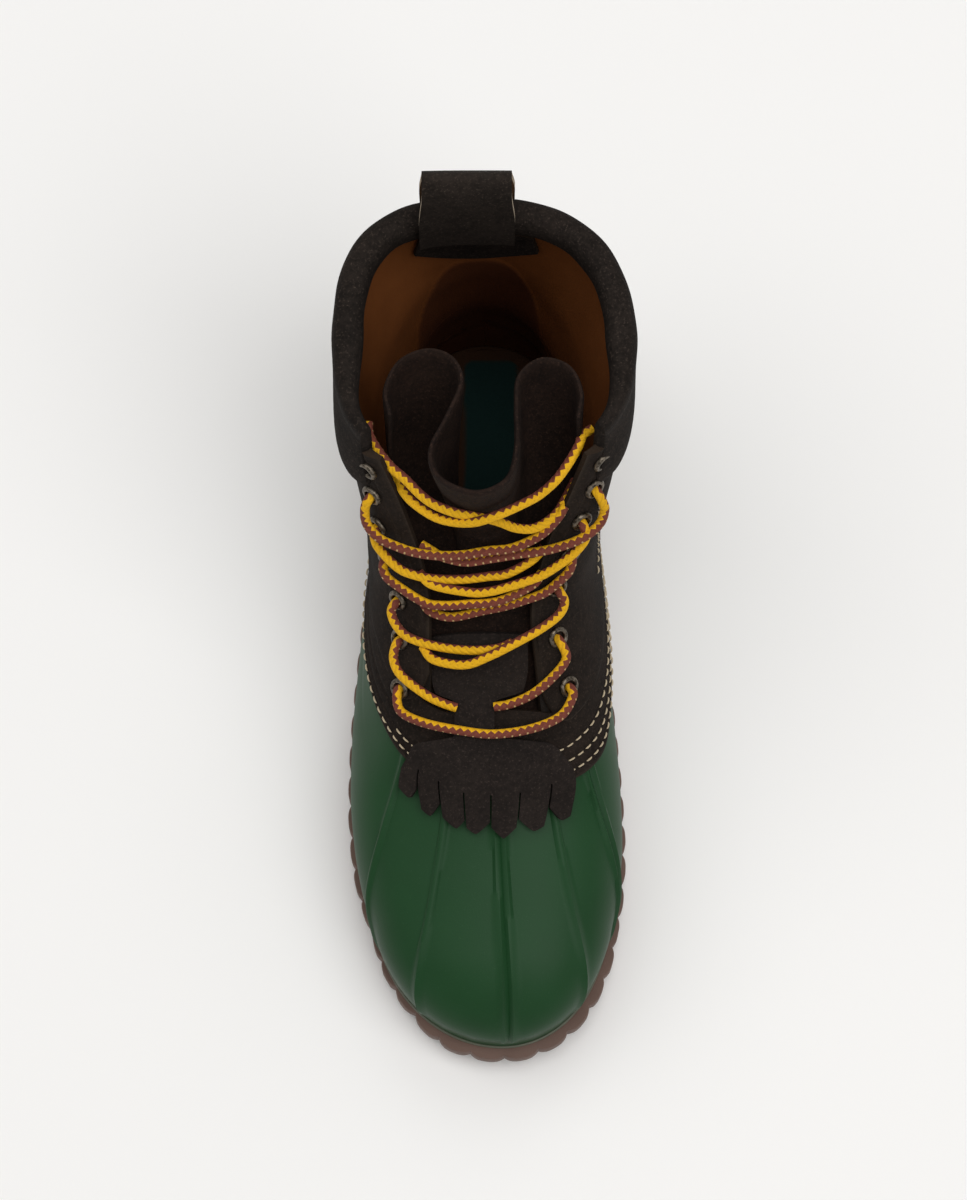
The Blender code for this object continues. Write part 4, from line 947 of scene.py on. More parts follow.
def shaded_panel_mask(grid):
    """1 inside the darker panel behind the heel, painted shade: under an arch of height z and half
    width x.
    """
    x = (grid[..., 0] + 3.0) / 28.0
    top = 138.0 - 56.0 * np.abs(x) ** 3
    behind = fade(grid[..., 1], 215.0, 222.0)
    return behind * fade(top - grid[..., 2], -0.6, 0.6)


def shaft_lining():
    """Lining inside the quarters, from the insole's heel to the collar."""
    shares = np.linspace(0.0, 1.0, 70)
    grid = shaft_rows(shares, SHAFT_TOP + 1.0)
    # painted shade: this mask darkens the lining behind the heel and sinks it 0.7 mm
    shaded_panel = shaded_panel_mask(grid)
    over_rubber = 3.1 * (1.0 - fade(lengths(grid, 0), 0.0, 32.0))
    face = offset(grid, -0.55 - 0.7 * shaded_panel - over_rubber)
    back = offset(grid, GAP / 2 + 0.3)
    across = lengths(grid, 1)
    strip = 1.0 - fade(np.minimum(across, across[:, -1:] - across), 14.0, 15.5)
    piece = wall("shaft_lining", face, back, [LINING, LINING, RAW_EDGE],
                 marks={"shaded_panel": (shaded_panel, shaded_panel), "facing": (strip, strip)})


def shell_lining():
    """Lining inside the rubber foot, from the insole up to the shaft's own lining."""
    grid = np.concatenate([
        rows_between(SOLE_RAYS, SEAM_RAYS, np.linspace(0.02, 1.0, 36)),
        rows_between(SEAM_RAYS, BAND_RAYS, np.linspace(0.1, 1.1, 12)),
    ])
    climb = np.concatenate([np.linspace(0.0, 1.0, 36), np.linspace(1.05, 2.0, 12)])[:, None]
    depth = RUBBER_WALL + 0.8 - 0.15 * fade(climb, 1.7, 2.0)
    # painted shade: the same mask darkens the foot's lining behind the heel and sinks it 0.7 mm
    shaded_panel = shaded_panel_mask(grid)
    face = offset(grid, -depth - 0.7 * shaded_panel)
    back = offset(grid, -depth + 0.5)
    piece = wall("shell_lining", face, back, [LINING, LINING, LINING], wrap=True,
                 marks={"shaded_panel": (shaded_panel, shaded_panel)})


# Closed forms from ladders of sections

def weld(verts, faces):
    """Join points in one place, and drop the edges and faces that this closes up."""
    keys = np.round(verts, 4)
    unique, index = np.unique(keys, axis=0, return_inverse=True)
    index = index.reshape(-1)
    made = []
    for face in index[faces].tolist():
        kept = [p for k, p in enumerate(face) if p != face[k - 1]]
        if len(kept) > 2 and len(set(kept)) == len(kept):
            made.append(kept)
    return unique, made


def welded_piece(name, rows, material, marks=None):
    """A closed piece from closed sections of equal length, pinched shut at its two ends."""
    count = rows.shape[1]
    index = np.arange(rows.shape[0] * count).reshape(rows.shape[:2])
    nxt = np.roll(index, -1, axis=1)
    faces = np.stack([index[:-1], nxt[:-1], nxt[1:], index[1:]], axis=-1).reshape(-1, 4)
    verts, kept = weld(rows.reshape(-1, 3), faces)
    mesh = bpy.data.meshes.new(name)
    mesh.from_pydata(place(verts).tolist(), [], kept)
    mesh.materials.append(material)
    mesh.shade_smooth()
    mesh.set_sharp_from_angle(angle=math.radians(SHARP))
    for mark, rule in (marks or {}).items():
        layer = mesh.attributes.new(mark, "FLOAT", "POINT")
        layer.data.foreach_set("value", rule(verts).astype(np.float32))
    obj = bpy.data.objects.new(name, mesh)
    bpy.context.scene.collection.objects.link(obj)
    turn_outwards(obj)
    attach(obj, "root")
    return obj


def outline(per_side, height):
    """A ring round the foot at a height, with its level normals, as in the part."""
    sides = []
    for table in (INNER_SIDE, OUTER_SIDE):
        values = read_side(table, np.linspace(0, len(table) - 1, 321))
        p = np.zeros((321, 3)) + 60.0
        for _ in range(4):
            p = cast(*sole_rays(values, height(p[:, 1])))
        along = np.concatenate([[0], np.cumsum(np.linalg.norm(np.diff(p[:, :2], axis=0), axis=1))])
        even = np.linspace(0, along[-1], per_side + 1)
        sides.append(np.column_stack([np.interp(even, along, p[:, i]) for i in range(3)]))
    ring = np.concatenate([sides[0], sides[1][-2:0:-1]])
    tangent = np.roll(ring, -1, axis=0) - np.roll(ring, 1, axis=0)
    normal = np.column_stack([-tangent[:, 1], tangent[:, 0]])
    normal /= np.linalg.norm(normal, axis=1, keepdims=True)
    middle = ring[:, :2].mean(axis=0)
    if np.sum((ring[:, :2] - middle) * normal) < 0:
        normal = -normal
    return ring, normal


def facing(ring):
    """The ring's points as two columns of a ladder: inner side and outer side, toe to heel."""
    half = len(ring) // 2
    inner = ring[:half + 1]
    outer = np.concatenate([ring[:1], ring[:half - 1:-1]])
    return inner, outer


FOREFOOT_GROOVES = tuple(22.0 + LOBE_PITCH * i for i in range(9))
HEEL_GROOVES = tuple(236.0 + LOBE_PITCH * i for i in range(5))
LOBES_A_SIDE = 27
LOBE_STEPS = 14


def tread_lift(x, t):
    """How far the underside is cut up: the arch, and chevron grooves across the sole."""
    u = np.clip((t - ARCH_FRONT) / (HEEL_BREAST - 4.0 - ARCH_FRONT), 0.0, 1.0)
    arch = ARCH_HEIGHT * np.sin(np.pi / 2 * u) * (t < HEEL_BREAST)
    lean = np.interp(x, (-66, -33, 0, 33, 66), (2.5, -2.5, 2.5, -2.5, 2.5))
    cut = np.zeros_like(arch)
    for groove in FOREFOOT_GROOVES + HEEL_GROOVES:
        away = np.abs(t - groove - lean)
        cut = np.maximum(cut, LUG_DEPTH * (1.0 - fade(away, 1.2, 1.9)))
    return np.maximum(arch, cut * (arch < 0.5))


def outsole():
    """The chain-tread sole: 27 round lobes a side, toe spring, arch, heel and chevron lugs.

    Across each lobe, of phase u from 0 to 1, its edge bulges by 1 - |2u - 1|^3.
    """
    per_side = LOBES_A_SIDE * LOBE_STEPS
    ring, normal = outline(per_side, lambda t: sole_top(t) + GAP)
    t = ring[:, 1]
    toe = 1.0 - fade(t, 10, 75)
    heel = fade(t, 270, 300)
    outer_toe = fade(-ring[:, 0], 12, 32) * (1.0 - fade(t, 50, 80))
    base = (SOLE_FLANGE + TOE_FLANGE * toe) * (1.0 - 0.65 * outer_toe) + HEEL_FLANGE * heel
    phase = (np.arange(len(ring)) % LOBE_STEPS) / LOBE_STEPS
    lobe = LOBE_DEPTH * (1.0 - np.abs(2 * phase - 1) ** 3.0)
    under = smooth(SOLE, SOLE_COLUMNS, "under", t)
    top = sole_top(t)
    levels = (          # out from the lobed edge, and height from the top or from below
        (-base - lobe - 2.5, top), (-1.1 - 0.6 * lobe, top), (-0.35, top - 0.25),
        (0.0, top - 0.9), (0.0, 0.5 * top + 0.5 * under), (0.0, under + 2.2),
        (-0.25, under + 1.1), (-0.9, under + 0.2), (-1.6, under),
    )
    inner, outer = [], []
    for k, (out, z) in enumerate(levels):
        p = ring.copy()
        p[:, :2] += normal * (base + lobe + out)[:, None]
        p[:, 2] = z
        if k > 4:
            p[:, 2] += tread_lift(p[:, 0], p[:, 1])
        a, b = facing(p)
        inner.append(a)
        outer.append(b)
    share = np.linspace(0.0, 1.0, 64)[1:-1, None, None]
    bottom = inner[-1] * (1 - share) + outer[-1] * share
    flat_under = smooth(SOLE, SOLE_COLUMNS, "under", bottom[..., 1])
    bottom[..., 2] = flat_under + tread_lift(bottom[..., 0], bottom[..., 1])
    share = np.linspace(0.0, 1.0, 8)[1:-1, None, None]
    across = outer[0] * (1 - share) + inner[0] * share
    rows = np.concatenate([np.array(inner), bottom, np.array(outer)[::-1], across])
    piece = welded_piece("outsole_tread", rows.transpose(1, 0, 2), BROWN_SOLE)
    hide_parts("outsole")


def sole_bead():
    """A thin cord of rubber where the shell meets the sole."""
    ring, normal = outline(400, lambda t: sole_top(t) + 0.9)
    path = ring.copy()
    path[:, :2] += normal * 0.15
    path[:, 2] = sole_top(ring[:, 1]) + 0.55
    path = np.roll(path, -400, axis=0)
    path = np.concatenate([path, path[:1]])
    bead = tube("sole_bead", path, 0.62, 8, BEAD)


def insole():
    """The footbed: softly dished, rounded over at its edge, with a bare patch at the heel."""
    def base(t):
        return sole_top(t) + GAP
    ring, normal = outline(160, lambda t: base(t) + INSOLE_THICK / 2)
    levels = ((-0.8, 0.0), (0.0, 0.5), (0.0, 3.2), (-0.7, 4.2), (-2.0, 4.5))
    inner, outer = [], []
    for out, z in levels:
        p = ring.copy()
        p[:, :2] += normal * (out - RUBBER_WALL - 1.3)
        p[:, 2] = base(p[:, 1]) + z
        a, b = facing(p)
        inner.append(a)
        outer.append(b)
    share = np.linspace(0.0, 1.0, 40)[1:-1, None, None]
    dish = 0.7 * (1.0 - (2 * share[..., 0] - 1.0) ** 2)
    top = inner[-1] * (1 - share) + outer[-1] * share
    top[..., 2] = base(top[..., 1]) + 4.5 - dish
    bottom = outer[0] * (1 - share) + inner[0] * share
    rows = np.concatenate([np.array(inner), top, np.array(outer)[::-1], bottom])

    def patch(p):
        x = np.abs(p[:, 0] - 2.0) - 7.5
        t = np.abs(p[:, 1] - 254.0) - 30.5
        away = np.hypot(np.maximum(x, 0.0), np.maximum(t, 0.0)) + np.minimum(np.maximum(x, t), 0.0)
        return 1.0 - fade(away, 3.0, 3.8)
    piece = welded_piece("footbed", rows.transpose(1, 0, 2), INSOLE_CLOTH, {"patch": patch})
    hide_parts("insole")


# The padded collar

COLLAR_SLIM = 1.7      # the leather roll is drawn in this much at its inner face
FLAP_DROP = 19.0       # at its front ends its lower edge comes down this much,
FLAP_OUT = 7.5         # stands out over the top eyelets
FLAP_FORWARD = 9.0     # and runs on towards the throat


def collar():
    """The padded roll: a full rounded section that thins towards both ends.

    Its section is |cos|^0.8, |sin|^0.8, and it swells and draws in a little along its length.
    At each end its lower half, by -sin, is drawn down and out as a flap over the top eyelet.
    """
    middle = (SHAFT_TOP + GAP + COLLAR_TOP) / 2
    half_height = (COLLAR_TOP - SHAFT_TOP - GAP) / 2
    base = quarter_base()
    row = upper_row(base, np.full(len(base), middle))
    row = spaced(row, 1.3)[4:-4]
    normal = skin_normal(row)
    normal[:, 2] = 0.0
    normal /= np.linalg.norm(normal, axis=1, keepdims=True)
    along = np.concatenate([[0], np.cumsum(np.linalg.norm(np.diff(row, axis=0), axis=1))])
    end = np.minimum(along, along[-1] - along)
    full = COLLAR_END + (1.0 - COLLAR_END) * fade(end, 0.0, 42.0)
    half_width = (COLLAR_OUT + COLLAR_IN - COLLAR_SLIM) * full / 2
    centre = COLLAR_OUT * full - half_width
    puff = 1.0 + 0.018 * np.sin(along / 5.3) + 0.014 * np.sin(along / 2.9 + 1.0)
    turns = np.linspace(0, 2 * np.pi, 40, endpoint=False)
    across = np.sign(np.cos(turns)) * np.abs(np.cos(turns)) ** 0.8
    up = np.sign(np.sin(turns)) * np.abs(np.sin(turns)) ** 0.8
    cap = round_end(end, 2.2)[:, None]
    cap[0] = 0.0
    cap[-1] = 0.0
    wide = half_width[:, None] * across * puff[:, None] * cap
    rows = row[:, None] + normal[:, None] * (centre[:, None] + wide)[..., None]
    rows[..., 2] = middle + half_height * up * puff[:, None] * (0.75 + 0.25 * cap)
    towards = np.gradient(row, axis=0)
    towards /= np.linalg.norm(towards, axis=1, keepdims=True)
    towards[:len(row) // 2] *= -1.0
    flap = np.maximum(-up, 0.0) * cap * (1.0 - fade(end, 6.0, 34.0))[:, None]
    rows = rows + (FLAP_OUT * normal + FLAP_FORWARD * towards)[:, None] * flap[..., None]
    rows[..., 2] -= FLAP_DROP * flap
    rows[0, :, 2] = middle
    rows[-1, :, 2] = middle
    piece = welded_piece("collar_roll", rows, COLLAR_LEATHER)
    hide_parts("collar")


# The tongue

TONGUE_FOLD = np.array((
    (-34.8, 209), (-36.4, 219), (-31.5, 229.5), (-21.5, 234), (-12.5, 231), (-9.0, 222),
    (-14.0, 209), (-20.0, 196), (-17.0, 185.5), (-4.0, 180), (7.5, 185), (11.0, 197),
    (11.0, 212), (12.0, 224), (20.0, 230.5), (30.0, 227.5), (34.2, 218), (33.2, 208),
), float)
TONGUE_ROWS = (0.0, 0.08, 0.17, 0.27, 0.38, 0.5, 0.63, 0.76, 0.88, 1.0)
TONGUE_BASE_T = 108.0
TONGUE_TOP = 188.0


def tongue_centre():
    """The middle surface of the tongue: flat under the kiltie, folding into a bellows above."""
    n = len(TONGUE_FOLD)
    s = np.linspace(-1.0, 1.0, n)
    rows = []
    for part in TONGUE_ROWS:
        z = 86.0 + (TONGUE_TOP - 86.0) * part
        half = smooth(THROAT, THROAT_COLUMNS, "left", z) + 6.0 * (1 - fade(part, 0.6, 1.0))
        x = s * half
        skin = front_point(x, np.full(n, z))
        depth = 2.4 + 2.8 * (1 - fade(part, 0.0, 0.17)) * s ** 4 + 5.0 * (1 - s ** 4)
        flat = offset(skin, -depth)
        front = float(skin[n // 2, 1]) - 192.0
        folded = stack(TONGUE_FOLD[:, 0], TONGUE_FOLD[:, 1] + front, z)
        amount = fade(part, 0.05, 1.15) / fade(1.0, 0.05, 1.15)
        rows.append(flat * (1 - amount) + folded * amount)
    low = top_point(s * 21.0, np.full(n, TONGUE_BASE_T))
    low = offset(low, -6.5)
    return np.concatenate([low[None], np.array(rows)])


def finer(grid, times, axis):
    """More points along one axis of a grid, by a Catmull-Rom curve through those it has."""
    g = np.moveaxis(grid, axis, 0)
    ends = (2 * g[:1] - g[1:2], g, 2 * g[-1:] - g[-2:-1])
    p = np.concatenate(ends)
    u = (np.arange(times) / times).reshape((1, times) + (1,) * (g.ndim - 1))
    a, b, c, d = (p[k:len(p) - 3 + k][:, None] for k in range(4))
    made = 0.5 * (2 * b + (c - a) * u + (2 * a - 5 * b + 4 * c - d) * u ** 2
                  + (3 * b - a - 3 * c + d) * u ** 3)
    made = made.reshape((-1,) + g.shape[1:])
    return np.moveaxis(np.concatenate([made, g[-1:]]), 0, axis)


def sheet_walls(centre, half):
    """The two faces of a sheet of leather about its middle surface."""
    normal = np.cross(np.gradient(centre, axis=1), np.gradient(centre, axis=0))
    normal /= np.linalg.norm(normal, axis=-1, keepdims=True)
    half = np.asarray(half)[..., None]
    return centre + normal * half, centre - normal * half


def tongue():
    """The bellows tongue, its rolled rim soft and its edges thinner."""
    centre = finer(finer(tongue_centre(), 10, 0), 8, 1)
    down = lengths(centre[::-1], 0)[::-1]
    side = lengths(centre, 1)
    side = np.minimum(side, side[:, -1:] - side)
    half = (TONGUE_WALL / 2) * (0.45 + 0.55 * round_end(np.minimum(down, side), 1.3))
    outer, inner = sheet_walls(centre, half)
    piece = wall("tongue_bellows", outer, inner, [TONGUE_SUEDE, TONGUE_SUEDE, TONGUE_SUEDE])
    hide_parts("tongue")


# The kiltie

KILTIE_COLUMNS = ("t", "centre", "half", "under")
KILTIE = np.array((
    (82, 0.6, 28.5, 1.6),
    (92, 0.6, 31.0, 2.2),
    (99, 0.6, 31.6, 3.5),
    (106, 0.6, 30.5, 4.2),
    (111, 0.2, 27.5, 4.2),
    (115.5, -1.0, 24.0, 4.2),
    (118, -4.0, 7.0, 4.1),
    (121, -4.0, 7.0, 3.6),
    (129, -4.0, 7.0, 1.0),
    (133, -2.6, 16.5, -0.6),
    (142, -2.6, 19.0, -3.4),
    (151, -2.6, 19.0, -3.8),
), float)
FRINGE_TIP_T = (96.0, 89.0, 84.0, 81.8, 80.2, 83.0, 87.5)
FRINGE_SLIT_T = (106.0, 101.5, 97.0, 96.0, 97.0, 100.5)
FRINGE_EDGES = (-1.0, -0.80, -0.56, -0.28, 0.04, 0.38, 0.73, 1.0)
FRINGE_CURL = (0.5, -0.1, 0.35, 0.0, 0.4, -0.15, 0.45)     # how far each tip lifts
FRINGE_POINT = (0.1, -0.2, 0.15, -0.25, 0.0, 0.3, 0.35)    # where each tip comes to its point
SLIT = 0.55


def kiltie():
    """The fringed flap: seven strips with cut tips, then the body, the neck and the tail."""
    strips = len(FRINGE_TIP_T)
    per = 11
    edges = FRINGE_EDGES
    local = np.linspace(-1, 1, per)
    us, tips, slits, curl = [], [], [], []
    for k in range(strips):
        left = edges[k] + (SLIT / 60 if k else 0.0)
        right = edges[k + 1] - (SLIT / 60 if k < strips - 1 else 0.0)
        us.append(left + (right - left) * (local + 1) / 2)
        away = np.abs(local - FRINGE_POINT[k])
        tips.append(FRINGE_TIP_T[k] - 0.5 + 4.2 * away ** 1.25 / (1.0 + abs(FRINGE_POINT[k])))
        first = FRINGE_SLIT_T[max(k - 1, 0)]
        last = FRINGE_SLIT_T[min(k, strips - 2)]
        slits.append(first + (last - first) * (local + 1) / 2)
        curl.append(np.full(per, FRINGE_CURL[k]))
    us, tips, slits, curl = (np.concatenate(v) for v in (us, tips, slits, curl))
    share = np.linspace(0.0, 1.0, 16)[:, None]
    fringe = tips * (1 - share) + slits * share
    cut_row = len(fringe) - 1
    body_start = np.linspace(0.0, 1.0, 12)[1:, None]
    body = slits * (1 - body_start) + 110.0 * body_start
    rest = np.broadcast_to(np.linspace(110.0, 151.0, 70)[1:, None], (69, len(us)))
    t = np.concatenate([fringe, body, rest])
    half = smooth(KILTIE, KILTIE_COLUMNS, "half", t)
    x = us * half + smooth(KILTIE, KILTIE_COLUMNS, "centre", t)
    surface = top_point(x, t)
    under = smooth(KILTIE, KILTIE_COLUMNS, "under", t)
    lifted = np.zeros_like(t)
    lifted[:len(fringe)] = curl * (1 - share) ** 1.5
    groove = np.zeros_like(t)
    groove[:len(fringe)] = np.tile(np.abs(local) ** 6, strips) * 0.25
    normal = skin_normal(surface)
    low = surface + normal * (under + lifted)[..., None]
    high = surface + normal * (under + lifted + KILTIE_WALL - groove)[..., None]
    cells = np.ones((len(t) - 1, len(us) - 1), bool)
    for k in range(strips - 1):
        cells[:cut_row, per * (k + 1) - 1] = False
    piece = wall("kiltie_flap", high, low, [KILTIE_SUEDE, KILTIE_SUEDE, KILTIE_SUEDE], cells)
    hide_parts("kiltie")


# Eyelets and lace

EYELETS = (      # outer x and height, inner x and height, lowest first
    (-30.9, 80.5, 29.6, 83.3),
    (-30.5, 91.5, 25.4, 96.0),
    (-31.0, 102.8, 25.0, 113.2),
    (-35.0, 118.0, 29.8, 126.0),
    (-38.0, 134.0, 33.6, 141.3),
    (-39.8, 150.8, 37.6, 154.5),
    (-41.0, 167.5, 39.9, 168.3),
)
EYELET_SECTION = (      # radius and height above the leather's inner face, round the flange
    (2.35, -1.0), (2.35, 3.9), (2.45, 4.55), (2.75, 4.9), (3.3, 4.98), (3.85, 4.75), (4.2, 4.3),
    (4.3, 3.8), (4.15, 3.3), (3.4, 3.1), (3.1, 2.6), (3.05, -1.0),
)


def frames_at(p):
    """Two directions along the skin and its normal at points of it."""
    n = skin_normal(p)
    a = np.cross(n, (0.0, 0.0, 1.0))
    a /= np.linalg.norm(a, axis=-1, keepdims=True)
    return a, np.cross(n, a), n


def eyelets():
    """Fourteen turned eyelets, each a barrel under a rounded flange."""
    xs = [e[0] for e in EYELETS] + [e[2] for e in EYELETS]
    zs = [e[1] for e in EYELETS] + [e[3] for e in EYELETS]
    p = front_point(np.array(xs), np.array(zs))
    a, b, n = frames_at(p)
    section = np.array(EYELET_SECTION)
    turn = np.linspace(0, 2 * np.pi, 36, endpoint=False)
    out = a[:, None] * np.cos(turn)[None, :, None] + b[:, None] * np.sin(turn)[None, :, None]
    verts = (p[:, None, None] + out[:, :, None] * section[:, 0][:, None]
             + n[:, None, None] * section[:, 1][:, None])
    index = np.arange(verts[..., 0].size).reshape(verts.shape[:3])
    j = np.roll(index, -1, axis=1)
    i = np.roll(index, -1, axis=2)
    ij = np.roll(j, -1, axis=2)
    faces = np.stack([index, i, ij, j], axis=-1).reshape(-1, 4)
    piece = mesh_piece("eyelets", verts.reshape(-1, 3), faces, np.zeros(len(faces)), [METAL], 50)
    turn_outwards(piece)
    names = ["eyelet_%s_%d" % (side, k + 1) for side in ("outer", "inner") for k in range(7)]
    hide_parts(*names)


# Lace strands: the node each belongs to, then x, height, and height above the skin.
LACE_ROLL = (0.0, 0.5, 0.5, 0.5, 0.0, 0.0, 0.5, 0.5, 0.0, 0.0, 0.5, 0.5, 0.0)
LACE = (
    ("lace_1", (-30.9, 80.5, 1.0), (-30.8, 80.2, 5.3), (-28.9, 77.6, 7.0), (-20.2, 80.3, 8.4),
     (-7.8, 82.6, 8.5), (2.9, 82.6, 8.5), (15.4, 82.0, 8.4), (25.1, 80.6, 7.6),
     (29.2, 81.8, 7.0), (29.6, 83.0, 5.3), (29.6, 83.3, 1.0)),
    ("lace_2", (-30.5, 91.5, 1.0), (-30.5, 90.8, 5.4), (-30.8, 87.4, 7.0), (-28.5, 85.9, 6.8),
     (-21.0, 86.1, 6.0), (-15.5, 86.0, 4.8), (-10.5, 86.0, 3.6)),
    ("lace_3", (25.4, 96.0, 1.0), (25.5, 95.0, 5.4), (26.7, 91.2, 7.0), (22.5, 89.9, 6.6),
     (16.0, 88.6, 5.7), (8.7, 87.7, 4.6), (3.0, 87.3, 3.4)),
    ("lace_4", (-31.0, 102.8, 1.0), (-31.0, 102.0, 5.4), (-31.0, 98.9, 7.1), (-29.5, 96.2, 7.0),
     (-25.7, 96.1, 6.2), (-16.4, 98.5, 4.9), (-5.6, 100.0, 4.3), (4.0, 100.6, 4.2),
     (9.5, 101.2, 3.4)),
    ("lace_4", (25.0, 113.2, 1.0), (25.1, 112.4, 5.4), (25.7, 108.0, 7.1), (23.8, 104.5, 7.2),
     (18.2, 103.2, 7.1), (10.2, 101.9, 7.5), (1.0, 99.6, 7.6), (-7.3, 97.1, 7.4),
     (-17.6, 95.4, 6.6), (-22.5, 95.5, 3.6)),
    ("lace_5", (-35.0, 118.0, 1.0), (-34.9, 117.3, 5.4), (-33.4, 115.2, 7.2), (-30.8, 113.6, 6.9),
     (-21.5, 111.8, 7.0), (-15.1, 112.5, 7.3), (-5.9, 114.0, 7.3), (4.7, 115.0, 6.8),
     (16.3, 118.8, 4.8), (20.5, 120.5, 1.5)),
    ("lace_5", (29.8, 126.0, 1.0), (29.5, 125.2, 5.4), (27.7, 122.0, 7.2), (24.9, 119.0, 7.0),
     (20.2, 114.9, 5.8), (14.2, 113.2, 4.6), (7.5, 111.8, 4.2), (-1.9, 110.3, 4.2),
     (-12.1, 107.6, 4.3), (-19.5, 106.7, 3.4), (-24.0, 107.0, 1.0)),
    ("lace_6", (-38.0, 134.0, 1.0), (-37.8, 133.0, 5.4), (-36.5, 129.6, 7.2), (-34.2, 126.0, 7.0),
     (-30.1, 122.9, 6.8), (-26.1, 122.0, 6.4), (-19.2, 121.2, 4.8), (-8.9, 122.0, 4.3),
     (1.1, 123.4, 4.2), (7.7, 124.4, 4.3), (16.4, 128.4, 3.2), (21.5, 131.0, 0.5)),
    ("lace_6", (33.6, 141.3, 1.0), (33.5, 140.0, 5.4), (33.1, 135.6, 7.2), (30.1, 131.2, 7.4),
     (25.2, 127.5, 7.2), (18.3, 123.7, 6.9), (7.7, 121.0, 7.3), (1.1, 119.2, 7.3),
     (-5.9, 118.7, 7.1), (-18.6, 119.9, 6.6), (-24.0, 121.0, 3.5)),
    ("lace_7", (-39.8, 150.8, 1.0), (-39.9, 149.5, 5.4), (-40.0, 144.5, 7.1), (-38.8, 138.2, 8.0),
     (-35.5, 135.3, 8.0), (-30.9, 134.4, 7.2), (-25.1, 133.9, 6.9), (-17.5, 134.3, 7.0),
     (-8.9, 135.5, 7.2), (1.0, 137.9, 7.3), (9.8, 138.8, 6.8), (19.4, 143.1, 5.6),
     (25.3, 148.3, 4.0), (28.5, 150.5, 1.5)),
    ("lace_7", (37.6, 154.5, 1.0), (37.8, 153.0, 5.4), (38.3, 148.5, 7.2), (38.4, 144.8, 7.8),
     (37.0, 140.4, 8.2), (33.7, 138.4, 8.2), (28.9, 136.4, 7.0), (21.1, 134.6, 5.6),
     (11.6, 133.4, 4.7), (1.1, 131.3, 4.5), (-7.1, 129.9, 4.6), (-13.6, 130.8, 4.4),
     (-17.6, 131.6, 3.6), (-24.0, 132.5, 1.0)),
)
# The two top strands as x, t, z: from inside the collar's ends, in front of the tongue, and under.
TOP_LACE = (
    ((-43.2, 213.8, 171.5), (-42.8, 209.0, 171.0), (-39.5, 203.2, 170.0), (-34.8, 197.4, 169.0),
     (-29.7, 193.1, 168.0), (-23.9, 187.6, 166.1), (-18.9, 184.2, 165.1), (-11.5, 181.5, 164.0),
     (-4.1, 180.5, 162.6), (0.3, 180.4, 160.2), (5.4, 179.9, 156.7), (10.7, 179.1, 152.4),
     (16.7, 179.5, 149.7), (21.8, 181.8, 149.6), (26.2, 185.6, 149.8), (29.3, 191.0, 149.4),
     (33.0, 198.5, 148.5)),
    ((39.0, 211.0, 173.0), (35.3, 208.5, 172.5), (33.5, 204.1, 172.0), (29.5, 197.6, 170.5),
     (25.1, 191.9, 169.2), (19.3, 187.6, 166.0), (14.2, 184.3, 167.2), (8.4, 181.3, 167.6),
     (3.2, 179.1, 167.7), (-4.1, 177.9, 163.9), (-11.6, 179.2, 159.5), (-19.0, 181.7, 158.0),
     (-26.3, 186.4, 159.0), (-30.4, 191.5, 157.4), (-34.5, 199.5, 155.0)),
)


def laces():
    """Each strand leaves its eyelet, crosses, and goes out of sight under the far eyestay."""
    strands = []
    for node, *route in LACE:
        route = np.array(route, float)
        base = front_point(route[:, 0], route[:, 1])
        strands.append((node, base + skin_normal(base) * route[:, 2:3]))
    strands += [("lace_8", np.array(route, float)) for route in TOP_LACE]
    for number, (node, knots) in enumerate(strands):
        path = spaced(finer(knots, 24, 0), 0.5)
        along = np.arange(len(path)) / len(path)
        roll = 0.035 * np.sin(2 * np.pi * (0.9 * along + 0.37 * number)) + LACE_ROLL[number]
        strand = tube("lace_strand_%d" % (number + 1), path, LACE_RADIUS, 20, LACE_CORD, roll)
        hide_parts(node)


# The pull loop

STRAP_PATH = (
    (280.6, 176), (280.6, 184), (280.7, 192), (281.4, 203), (282.6, 214), (284.2, 222),
    (287.2, 226.2), (290.4, 222), (292.8, 213), (295.0, 203), (296.6, 194), (297.2, 186),
    (297.1, 176), (296.6, 166), (296.2, 160),
)


def collar_curve(x, out):
    """How far the collar's inner or outer face lies behind its middle, at points across it."""
    wide = np.linspace(-45, 45, 61)
    z = (SHAFT_TOP + COLLAR_TOP) / 2
    skin = cast(stack(wide, 240.0, z), stack(0.0 * wide, 1.0, 0.0))
    face = offset(skin, out)
    order = np.argsort(face[:, 0])
    t = np.interp(x, face[order, 0], face[order, 1])
    return t - np.interp(STRAP_X, face[order, 0], face[order, 1])


def strap_face(along, across, way):
    """Points of the loop's front or back face, by shares along its path and across it."""
    path = np.array(STRAP_PATH, float)
    table = np.column_stack([np.arange(len(path)), path])
    at = along * (len(path) - 1)
    t = smooth(table, ("k", "t", "z"), "t", at)
    z = smooth(table, ("k", "t", "z"), "z", at)
    tangent = np.column_stack([np.gradient(t), np.gradient(z)])
    tangent /= np.linalg.norm(tangent, axis=1, keepdims=True)
    normal = np.column_stack([-tangent[:, 1], tangent[:, 0]])
    taper = 1.0 - STRAP_TAPER * fade(z, 195, 222)
    x = STRAP_X + across[None, :] * STRAP_WIDTH * taper[:, None]
    room = GAP + STRAP_THICK / 2
    behind = fade(t, 284, 292)[:, None]
    curve = (collar_curve(x, -COLLAR_IN - room) * (1 - behind)
             + collar_curve(x, COLLAR_OUT + room) * behind)
    curve *= (1.0 - 0.85 * fade(z, 190, 224))[:, None]
    t = t + COLLAR_SLIM * (1.0 - fade(t, 282.0, 287.0)) * (1.0 - fade(z, 200.0, 220.0))
    p = np.column_stack([t, z]) + normal * (way * STRAP_THICK / 2)
    return stack(x, p[:, 0][:, None] + curve, p[:, 1][:, None])


